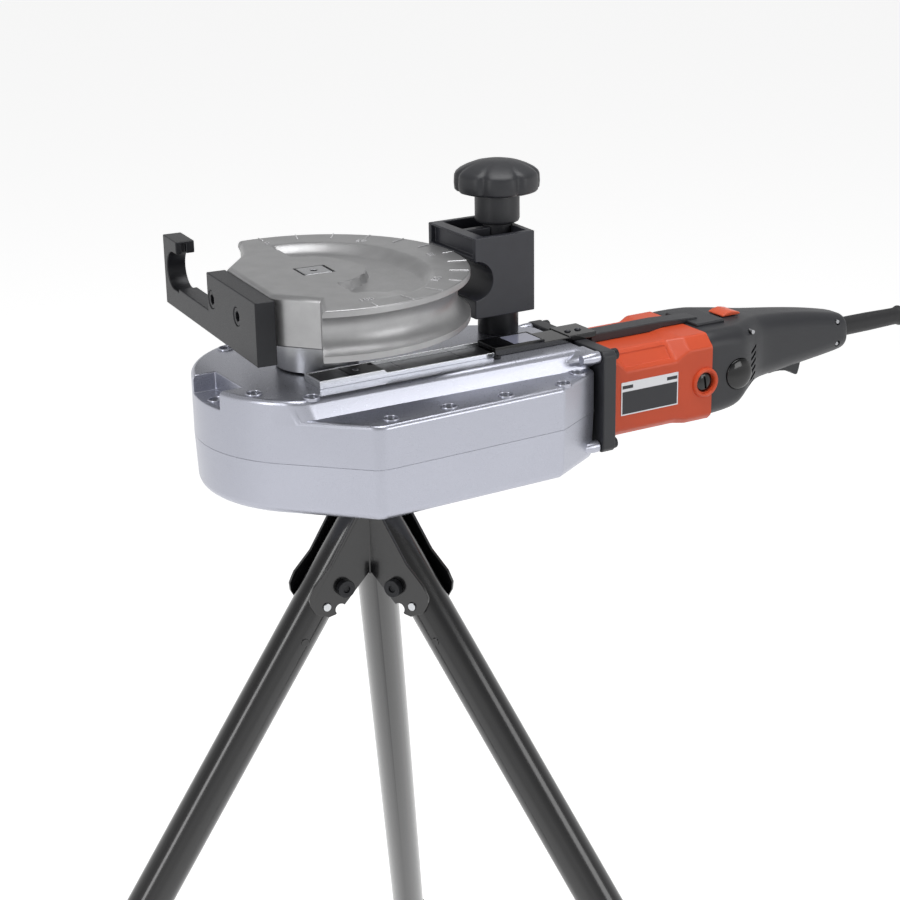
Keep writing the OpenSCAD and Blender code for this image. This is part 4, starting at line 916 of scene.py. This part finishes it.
def build_motor():
    case = along_motor([(x, CASE_W, CASE_H, c)
                        for x, c in ((CASE_X, 6), (201, 6), (209, 14), (254, 14))]
                       + [(x, 90, 67, 9) for x in (265, REAR_BODY_X)])
    softened(case, 1.6, 3, lambda m, e: CASE_X + 1 < m.x < REAR_BODY_X - 1, angle=8)
    case = worked(case, along_motor([(x, CASE_W - 6, CASE_H - 6, 12)
                                     for x in (CASE_X + 3, REAR_BODY_X + 5)]))
    opening = at(rod(24, -2, 9, 64), (CASE_X, MOTOR_Y, MOTOR_Z), AXIS_X)
    behind = block((REAR_BODY_X, -150, -200), (340, 50, 0))
    panels = []
    for s in (-1, 1):
        y, z = MOTOR_Y + s * 37, MOTOR_Z + 23.95
        panel = rounded_box((208, y - 6, z), (251, y + 6, MOTOR_Z + 34), 1.2, 3)
        panels.append(turned(panel, s * radians(-45), "X", (0, y, MOTOR_Z + 24.75)))
    case = worked(case, opening, behind, *panels)
    case = worked(case, *at_brushes(lambda: lathe(BRUSH_RING, 72)), how="UNION")
    case = worked(case, *at_brushes(lambda: rod(7.6, 30, 50, 64)))
    piece("motor_case_moulding", case, "housing", "orange_plastic", "motor_case", smooth=25)
    flange = along_motor([(x, ADAPTER_W, ADAPTER_H, 3) for x in (REAR_X + 1.8, CASE_X - 0.1)])
    softened(flange, 1.2, 3)
    neck = at(disc(15, 9.4, 0.6), (REAR_X - 5.4, MOTOR_Y, MOTOR_Z), AXIS_X)
    shaft = at(rod(12.9, 0, 30, 48), (REAR_X - 8, MOTOR_Y, MOTOR_Z), AXIS_X)
    corners = [(CASE_X, y, z) for y, z in ADAPTER_BOLTS]
    bores = [at(rod(3, -20, 2, 32), p, AXIS_X) for p in corners]
    flange = worked(worked(flange, neck, how="UNION"), shaft, *bores)
    piece("adapter_flange_moulding", flange, "housing", "black_plastic", "adapter_flange")
    bolts = []
    for place in corners:
        head = socket_head(4.3, 4.2, 0.7, 2.5, 2.2)
        shank = lathe([(0, -21.5), (2.5, -21.5), (2.9, -21), (2.9, 0.2), (0, 0.2)], 32)
        bolts += [at(head, place, AXIS_X), at(shank, place, AXIS_X)]
    piece("adapter_bolt_set", together(bolts), "housing", "black_steel", "adapter_bolts")
    caps = []
    for s, cap in zip((-1, 1), at_brushes(lambda: lathe(BRUSH_CAP, 48))):
        x, y, z = BRUSH_AT[0], MOTOR_Y + s * 45, BRUSH_AT[2]
        slot = block((x - 5, y - 1.2, z - 0.9), (x + 5, y + 1.2, z + 0.9))
        caps.append(worked(cap, turned(slot, radians(80), "Y", BRUSH_AT)))
    piece("brush_cap_pair", together(caps), "housing", "gloss_black", "brush_caps")
    low, high = (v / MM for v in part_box("rating_plate"))
    plate = softened(block(low, high), 0.2, 2)
    piece("blank_rating_plate", plate, "housing", "plate_grey", "rating_plate")
    y0, y1 = low.y - 0.06, low.y + 0.2
    field = together([
        rounded_box((low.x + x0, y0, low.z + z0), (low.x + x1, y1, low.z + z1), 0.05, 1)
        for x0, x1, z0, z1 in ((1.0, 50.8, 1.0, 18.2), (1.0, 10.5, 20.4, 23.0),
                               (41.3, 50.8, 20.4, 23.0))])
    piece("blank_plate_field", field, "housing", "plate_grey", look="plate_field")
    duct = softened(bar(DUCT_SIDE, MOTOR_Y - 7.4, MOTOR_Y + 7.4), 0.8, 3)
    piece("cable_duct_cover", duct, "housing", "black_plastic", "cable_duct")


# Rear body and handle
# Sections of the rear body: distance along X, half width, top, bottom and corner radius.
BODY_SECTIONS = [
    (286.6, 41.6, -74.2, -138.0, 11), (288.2, 42.7, -73.0, -139.0, 12),
    (300, 42.9, -72.8, -138.6, 12), (312, 42.9, -72.9, -137.4, 13), (319, 42.4, -73.1, -135.4, 14),
    (326, 40.0, -73.4, -131.8, 15), (334, 35.6, -73.6, -128.8, 15), (343, 29.6, -74.0, -126.9, 14),
    (352, 25.8, -74.9, -125.8, 14), (365, 23.5, -76.2, -125.0, 14), (385, 21.6, -78.4, -123.6, 14),
    (405, 19.7, -81.1, -122.2, 13.5), (422, 18.4, -84.0, -120.7, 13),
    (436, 17.4, -86.9, -119.2, 12.5), (442, 16.6, -88.4, -118.2, 12),
    (445.2, 15.2, -89.7, -117.0, 11), (446.6, 13.0, -91.7, -115.0, 10)]
# Vent slots on each side: how many, where the first one is, their step and their slant.
VENTS, VENT_AT, VENT_STEP, VENT_SLANT = 6, (333.6, -93.5), 5.3, radians(24)


def body_ring(x, half, top, bottom, radius, shrink=0.0):
    """A rounded rectangle across the handle."""
    half, top, bottom = half - shrink, top - shrink, bottom + shrink
    radius = max(2.0, radius - shrink)
    middle, tall = (top + bottom) / 2, (top - bottom) / 2
    radius = min(radius, tall - 0.5, half - 0.5)
    ring = []
    for k, (sy, sz) in enumerate(((1, 1), (-1, 1), (-1, -1), (1, -1))):
        for i in range(9):
            a = pi / 2 * (k + i / 8)
            ring.append((x, MOTOR_Y + sy * (half - radius) + radius * cos(a),
                         middle + sz * (tall - radius) + radius * sin(a)))
    return ring


def smooth_sections(sections, per=4):
    """Sections with more in between, on a Catmull-Rom curve."""
    made, last = [], len(sections) - 1
    for i in range(last):
        before, a, b, after = (sections[max(0, min(last, i + k))] for k in (-1, 0, 1, 2))
        span = b[0] - a[0]
        for s in range(per):
            t = s / per
            row = [a[0] + span * t]
            for c in range(1, 5):
                m1 = (b[c] - before[c]) / (b[0] - before[0]) * span
                m2 = (after[c] - a[c]) / (after[0] - a[0]) * span
                row.append((2 * t ** 3 - 3 * t ** 2 + 1) * a[c] + (t ** 3 - 2 * t ** 2 + t) * m1
                           + (-2 * t ** 3 + 3 * t ** 2) * b[c] + (t ** 3 - t ** 2) * m2)
            made.append(tuple(row))
    return made + [sections[-1]]


def body_solid(shrink=0.0, start=BODY_SECTIONS[0][0], end=BODY_SECTIONS[-1][0]):
    rows = smooth_sections(BODY_SECTIONS)
    return loft([body_ring(*row, shrink) for row in rows if start <= row[0] <= end])


def slot_tool(x, z, length, height, slant, side):
    """One slanted vent slot with round ends, cut inwards from a side."""
    points = [(x + a * cos(slant) - b * sin(slant), z + a * sin(slant) + b * cos(slant))
              for a, b in arc(height / 2, -pi / 2, pi / 2, 6, (length / 2, 0))
              + arc(height / 2, pi / 2, 3 * pi / 2, 6, (-length / 2, 0))]
    return loft([[(px, MOTOR_Y + side * y, pz) for px, pz in points] for y in (20, 50)])


# Screws of the handle: x, distance from the middle plane, and z.
HANDLE_SCREWS = ((330.6, 33, -79), (434.6, 13.6, -92.5), (434.6, 13.6, -110.5))
# Side views of the switch's slider and of the trigger's lever, as (x, z).
SLIDER_SIDE = [(323.4, -72.9), (340.6, -72.9), (340.6, -71.6), (338, -70.6), (334.6, -69.9),
               (332, -69.45), (329, -69.9), (326, -70.6), (323.4, -71.6)]
LEVER_SIDE = [(372.2, -117.5), (404.8, -117.5), (404.6, -123.4), (403.4, -128.6), (402.2, -132.4),
              (400.6, -132.9), (398.2, -131.8), (394.6, -129.6), (390, -127.8), (384, -126.8),
              (378, -126.7), (372.2, -127.4)]
# Profiles of the speed dial and of the cord guard, as (radius, height).
DIAL_DOME = [(0, -8.5), (9, -8.5), (9, -4), (12, -4), (12, 0.2), (11.6, 0.9), (10.6, 1.6),
             (8.6, 2.4), (6, 3.0), (3, 3.35), (0, 3.45)]
CORD_GUARD = [(4.2, 0), (7.6, 0), (7.6, 22), (7.5, 42), (6.9, 68), (7.0, 72), (7.9, 74.2),
              (8.2, 75), (8.1, 75.7), (7.6, 76), (4.6, 76), (4.2, 75.6)]


def build_handle():
    slots = [slot_tool(VENT_AT[0], VENT_AT[1] - VENT_STEP * i, 7.6, 2.5, VENT_SLANT, s)
             for i in range(VENTS) for s in (-1, 1)]
    dial_seat = at(rod(12.4, 0, 14, 64), DIAL_AT, (0, -1, 0))
    seats = at_brushes(lambda: rod(11.75, 36, 60, 64))
    holes = [at(rod(2.6, 0, 40, 32), (x, MOTOR_Y + s * y, z), (0, s, 0))
             for x, y, z in HANDLE_SCREWS for s in (-1, 1)]
    slider = block((324, MOTOR_Y - 3.5, -80), (340, MOTOR_Y + 3.5, -60))
    trigger = block((371, MOTOR_Y - 8.5, -140), (406, MOTOR_Y + 8.5, -115))
    cord = at(rod(7.7, 0, 30, 48), (436.6, MOTOR_Y, CORD_Z), AXIS_X)
    shaft = at(rod(13.5, -2, 6, 48), (REAR_BODY_X, MOTOR_Y, MOTOR_Z), AXIS_X)
    shell = worked(body_solid(), body_solid(3.0, 290, 443), *slots, dial_seat, *holes, slider,
                   trigger, cord, shaft, *seats)
    for side, bm, far in (("near", shell, 1), ("far", shell.copy(), -1)):
        y0, y1 = sorted((MOTOR_Y - far * PARTING, MOTOR_Y + far * 80))
        half = worked(bm, block((200, y0, -200), (500, y1, 0)))
        piece(f"handle_{side}_moulding", half, "housing", "black_plastic", f"handle_{side}_half",
              smooth=32)
    x, y, z = DIAL_AT
    dome = at(lathe(DIAL_DOME, 64), (x, y - 9.5, z), (0, -1, 0))
    piece("speed_dial_dome", dome, "dial", "gloss_black", "speed_dial")
    top = softened(bar(SLIDER_SIDE, MOTOR_Y - 9, MOTOR_Y + 9), 0.8, 3)
    stem = block((331, MOTOR_Y - 3, -75), (333.6, MOTOR_Y + 3, -72.4))
    piece("direction_slider", worked(top, stem, how="UNION"), "direction", "switch_orange",
          "direction_switch", smooth=30)
    lever = softened(bar(LEVER_SIDE, MOTOR_Y - 8, MOTOR_Y + 8), 1.0, 3, angle=40)
    piece("trigger_lever", lever, "trigger_key", "black_plastic", "trigger")
    guard = at(lathe(CORD_GUARD, 64, closed=True), (438.6, MOTOR_Y, CORD_Z), AXIS_X)
    piece("cord_guard_sleeve", guard, "housing", "dark_rubber", "cord_guard")
    dressed("handle_screws", 0.2, "housing", "black_steel", look="tool_steel")
    bridge = rounded_box((290, MOTOR_Y - 20, -73.4), (317, MOTOR_Y + 20, -70.6), 1.0, 3)
    piece("handle_bridge", bridge, "housing", "black_plastic")


# Display
# The tray's reach along X and Y and its sheet, and the places of the two small screws.
TRAY_X, TRAY_Y, TRAY_SHEET = (-27.5, 113), (-57.5, -33.8), 1.4
COVER_SCREW = (7.2, -44.4)
DISPLAY_SCREW = (112.4, -62.2)


def build_display():
    (x0, x1), (y0, y1), sheet = TRAY_X, TRAY_Y, TRAY_SHEET
    tall, low = PLATEAU + 5.7, PLATEAU + 3.2
    near = bar([(x0, PLATEAU), (x1, PLATEAU), (x1, low), (25.5, low), (23, tall), (x0, tall)],
               y0, y0 + sheet)
    far = block((x0, y1 - sheet, PLATEAU), (x1, y1, tall))
    end = block((x0, y0, PLATEAU), (x0 + sheet, y1, tall))
    base = block((x0, y0, PLATEAU), (x1, y1, PLATEAU + sheet))
    tray = softened(merged(worked(near, far, end, base, how="UNION")), 0.25, 2)
    piece("display_tray_sheet", tray, "housing", "sheet_silver", "display_tray")
    y0, y1 = y0 + sheet + 0.2, y1 - sheet - 0.2
    pocket = rounded_box((-25.9, y0, -66.5), (-1.8, y1, -62.9), 0.3, 1)
    dome = rounded_box((-1.4, y0, -66.5), (24, y1, -62.7), 0.4, 2)
    strip = rounded_box((23, y0, -66.6), (112.6, y1, -65.5), 0.3, 1)
    seams = [block((x, -60, -65.8), (x + 0.5, -30, 0)) for x in (40, 88)]
    inlay = block((19.5, -41.5, -63.2), (23, -37.5, 0))
    head = at(rod(2.9, -2, 3, 40), (*COVER_SCREW, -63.4))
    cover = worked(worked(dome, strip, how="UNION"), *seams, inlay, head)
    piece("sensor_cover_shell", together([cover, pocket]), "housing", "block_plastic",
          "sensor_cover", look="deep_black")
    screw = socket_head(2.6, 2.6, 0.5, 1.0, 0.8, (*COVER_SCREW, -65.2))
    piece("cover_screw", screw, "housing", "zinc_steel")
    screw = socket_head(2.7, 2.2, 0.5, 1.4, 1.3, (*DISPLAY_SCREW, PLATEAU))
    piece("display_screw", screw, "housing", "black_steel")
    dressed("display_housing", 0.5, "housing", "gloss_black")
    dressed("display_lens", 0.2, "housing", "lcd")
    for node, body in (("zero_button", "zero_key"), ("mode_button", "mode_key")):
        dressed(node, 0.2, body, "block_plastic")


# Tripod
def build_tripod():
    dressed("tripod_plate", 0.6, "housing", "tripod_black")
    dressed("leg_brackets", 0.4, "housing", "tripod_black")
    dressed("pivot_bolts", 0.6, "housing", "black_steel")
    dressed("detent_pins", 0.5, "housing", "zinc_steel")
    for side in ("left", "right", "rear"):
        dressed(side + "_leg_tube", 0.25, side + "_leg", "tripod_black")
        dressed(side + "_leg_foot", 1.0, side + "_leg", "dark_rubber", steps=3)


def paint_inner_parts():
    """Gives the CAD nodes that stay their finishes."""
    slots = {row["node"]: row["material_slot"] for row in frame["record"]["subparts"]}
    for name, obj in frame["nodes"].items():
        if not obj.hide_render:
            obj.data.materials.clear()
            obj.data.materials.append(mat(slots[name]))


# Stage
def shown_to_eye(tree):
    """1 for rays that show a surface, straight or in metal and glass, and 0 for the rest."""
    path = add(tree, "ShaderNodeLightPath")
    seen = add(tree, "ShaderNodeMath", {0: path.outputs["Is Camera Ray"],
                                        1: path.outputs["Is Glossy Ray"]}, operation="MAXIMUM")
    return add(tree, "ShaderNodeMath", {0: seen.outputs[0],
                                        1: path.outputs["Is Transmission Ray"]},
               operation="MAXIMUM").outputs[0]


# The photo's camera, in metres, as it was fitted to the dial and the housing's edges.
LENS = 79.75
CAMERA_AT = Vector((-0.6085, -1.2240, 0.3466))
CAMERA_RIGHT = Vector((0.85996, -0.51012, -0.01563))
CAMERA_UP = Vector((0.18285, 0.27936, 0.94262))
FLOOR_SPAN = (-14, 20, -10, 24)
FLOOR_GLOW = 0.76
CEILING = 0.38
AMBIENT = 0.55
# Lamps: name, place, aim and size in metres, and power in watts.
LAMPS = (("key", (1.15, -2.0, 0.45), (0.05, -0.08, -0.08), (1.0, 0.9), 9),
         ("top", (0.3, -0.2, 2.0), (0.05, 0, -0.1), (1.5, 1.5), 34),
         ("left", (-1.9, -0.6, 0.7), (0, -0.05, -0.2), (0.5, 1.6), 12))


def build_stage():
    scene = bpy.context.scene
    scene.view_settings.view_transform = "Standard"
    cam = bpy.data.cameras.new("Photo camera")
    cam.lens = LENS
    cam.sensor_width = 36
    cam.clip_end = 60
    camera = linked("Photo camera", cam)
    back = CAMERA_RIGHT.cross(CAMERA_UP)
    camera.matrix_world = Matrix((*zip(CAMERA_RIGHT, CAMERA_UP, back, CAMERA_AT), (0, 0, 0, 1)))
    scene.camera = camera

    floor = bpy.data.materials.new("pale_floor")
    floor.use_nodes = True
    tree = floor.node_tree
    tree.nodes.clear()
    level = add(tree, "ShaderNodeMath", {0: shown_to_eye(tree), 1: FLOOR_GLOW},
                operation="MULTIPLY")
    diffuse = add(tree, "ShaderNodeBsdfDiffuse", {"Color": linear("#D8D8D8")})
    glow = add(tree, "ShaderNodeEmission", {"Strength": level.outputs[0]})
    both = add(tree, "ShaderNodeAddShader", {0: diffuse.outputs[0], 1: glow.outputs[0]})
    add(tree, "ShaderNodeOutputMaterial", {"Surface": both.outputs[0]})
    mesh = bpy.data.meshes.new("pale_floor")
    x0, x1, y0, y1 = FLOOR_SPAN
    mesh.from_pydata([(x0, y0, FLOOR), (x1, y0, FLOOR), (x1, y1, FLOOR), (x0, y1, FLOOR)], [],
                     [(0, 1, 2, 3)])
    mesh.materials.append(floor)
    linked("pale_floor", mesh)

    world = bpy.data.worlds.new("soft_room")
    scene.world = world
    world.use_nodes = True
    tree = world.node_tree
    tree.nodes.clear()
    seen = shown_to_eye(tree)
    level = add(tree, "ShaderNodeMapRange", {"Value": seen, "To Min": AMBIENT, "To Max": 1.0})
    # White up to the horizon, then a grey studio ceiling that metal tops show.
    where = add(tree, "ShaderNodeTexCoord")
    parts = add(tree, "ShaderNodeSeparateXYZ", {"Vector": where.outputs["Generated"]})
    grey = add(tree, "ShaderNodeMapRange", {"Value": parts.outputs["Z"], "From Min": 0.06,
                                            "From Max": 0.42, "To Min": 1.0,
                                            "To Max": CEILING})
    sky = add(tree, "ShaderNodeBackground", {"Color": grey.outputs["Result"],
                                             "Strength": level.outputs["Result"]})
    add(tree, "ShaderNodeOutputWorld", {"Surface": sky.outputs["Background"]})

    for name, place, aim, size, power in LAMPS:
        lamp = bpy.data.lights.new(name, "AREA")
        lamp.shape = "RECTANGLE"
        lamp.size, lamp.size_y = size
        lamp.energy = power
        obj = linked(name, lamp)
        obj.location = place
        obj.rotation_euler = (Vector(aim) - Vector(place)).to_track_quat("-Z", "Y").to_euler()


# Add-on
class BenderSizes(bpy.types.PropertyGroup):
    casting_edge: bpy.props.FloatProperty(
        name="Casting edge", description="Radius of the housing's and the former's cast edges",
        default=0.0036, min=0.0005, max=0.004, subtype="DISTANCE", unit="LENGTH")
    mark_height: bpy.props.FloatProperty(
        name="Mark height", description="Height of the dial's marks and numbers",
        default=0.0005, min=0.0002, max=0.0006, subtype="DISTANCE", unit="LENGTH")


def colour_choice(label, slot):
    return bpy.props.FloatVectorProperty(
        name=label, description="Base colour of the " + label.lower(), subtype="COLOR", size=3,
        min=0.0, max=1.0, default=linear(FINISHES[slot][0])[:3])


class BenderColours(bpy.types.PropertyGroup):
    housing_silver: colour_choice("Gear housing", "housing_silver")
    cast_grey: colour_choice("Bending former", "cast_grey")
    orange_plastic: colour_choice("Motor case", "orange_plastic")
    black_plastic: colour_choice("Handle and knob", "black_plastic")
    block_plastic: colour_choice("Counter-former", "block_plastic")
    tripod_black: colour_choice("Tripod", "tripod_black")


class StageOperator(bpy.types.Operator):
    """Builds the floor, the lamps and the camera"""
    bl_idname = "bender.stage"
    bl_label = "Stage"

    def execute(self, context):
        build_stage()
        return {"FINISHED"}


class FormerOperator(bpy.types.Operator):
    """Builds the former with its dial, the hook and the spindle"""
    bl_idname = "bender.former"
    bl_label = "Former and hook"

    def execute(self, context):
        build_former(context.scene.bender_sizes)
        return {"FINISHED"}


class HousingOperator(bpy.types.Operator):
    """Builds the two housing castings and their screws"""
    bl_idname = "bender.housing"
    bl_label = "Gear housing"

    def execute(self, context):
        build_housing(context.scene.bender_sizes)
        return {"FINISHED"}


class CounterFormerOperator(bpy.types.Operator):
    """Builds the counter-former, its post and the star knob"""
    bl_idname = "bender.counter_former"
    bl_label = "Counter-former"

    def execute(self, context):
        build_counter_former()
        return {"FINISHED"}


class MotorOperator(bpy.types.Operator):
    """Builds the motor case, its adapter, caps, plate and duct"""
    bl_idname = "bender.motor"
    bl_label = "Motor"

    def execute(self, context):
        build_motor()
        return {"FINISHED"}


class HandleOperator(bpy.types.Operator):
    """Builds the rear body, the dial, the switch, the trigger and the cord guard"""
    bl_idname = "bender.handle"
    bl_label = "Handle"

    def execute(self, context):
        build_handle()
        return {"FINISHED"}


class DisplayOperator(bpy.types.Operator):
    """Builds the tray, the cover, the display and its buttons"""
    bl_idname = "bender.display"
    bl_label = "Display"

    def execute(self, context):
        build_display()
        return {"FINISHED"}


class TripodOperator(bpy.types.Operator):
    """Builds the tripod head and the legs"""
    bl_idname = "bender.tripod"
    bl_label = "Tripod"

    def execute(self, context):
        build_tripod()
        return {"FINISHED"}


class InnerOperator(bpy.types.Operator):
    """Gives the gears, bearings and other inner parts their finishes"""
    bl_idname = "bender.inner"
    bl_label = "Inner parts"

    def execute(self, context):
        paint_inner_parts()
        return {"FINISHED"}


OPERATORS = (StageOperator, FormerOperator, HousingOperator, CounterFormerOperator, MotorOperator,
             HandleOperator, DisplayOperator, TripodOperator, InnerOperator)


class BenderPanel(bpy.types.Panel):
    """Lists the pieces and their sizes"""
    bl_idname = "VIEW3D_PT_pipe_bender"
    bl_label = "Pipe bender"
    bl_space_type = "VIEW_3D"
    bl_region_type = "UI"
    bl_category = "Pipe bender"

    def draw(self, context):
        for group, kind in ((context.scene.bender_sizes, BenderSizes),
                            (context.scene.bender_colours, BenderColours)):
            for name in kind.__annotations__:
                self.layout.prop(group, name)
        for operator in OPERATORS:
            self.layout.operator(operator.bl_idname)


CLASSES = (BenderSizes, BenderColours, *OPERATORS, BenderPanel)


def register():
    for made in CLASSES:
        bpy.utils.register_class(made)
    bpy.types.Scene.bender_sizes = bpy.props.PointerProperty(type=BenderSizes)
    bpy.types.Scene.bender_colours = bpy.props.PointerProperty(type=BenderColours)


def unregister():
    del bpy.types.Scene.bender_colours
    del bpy.types.Scene.bender_sizes
    for made in reversed(CLASSES):
        bpy.utils.unregister_class(made)


def main():
    register()
    for operator in OPERATORS:
        group, name = operator.bl_idname.split(".")
        getattr(getattr(bpy.ops, group), name)()


if __name__ == "__main__":
    main()
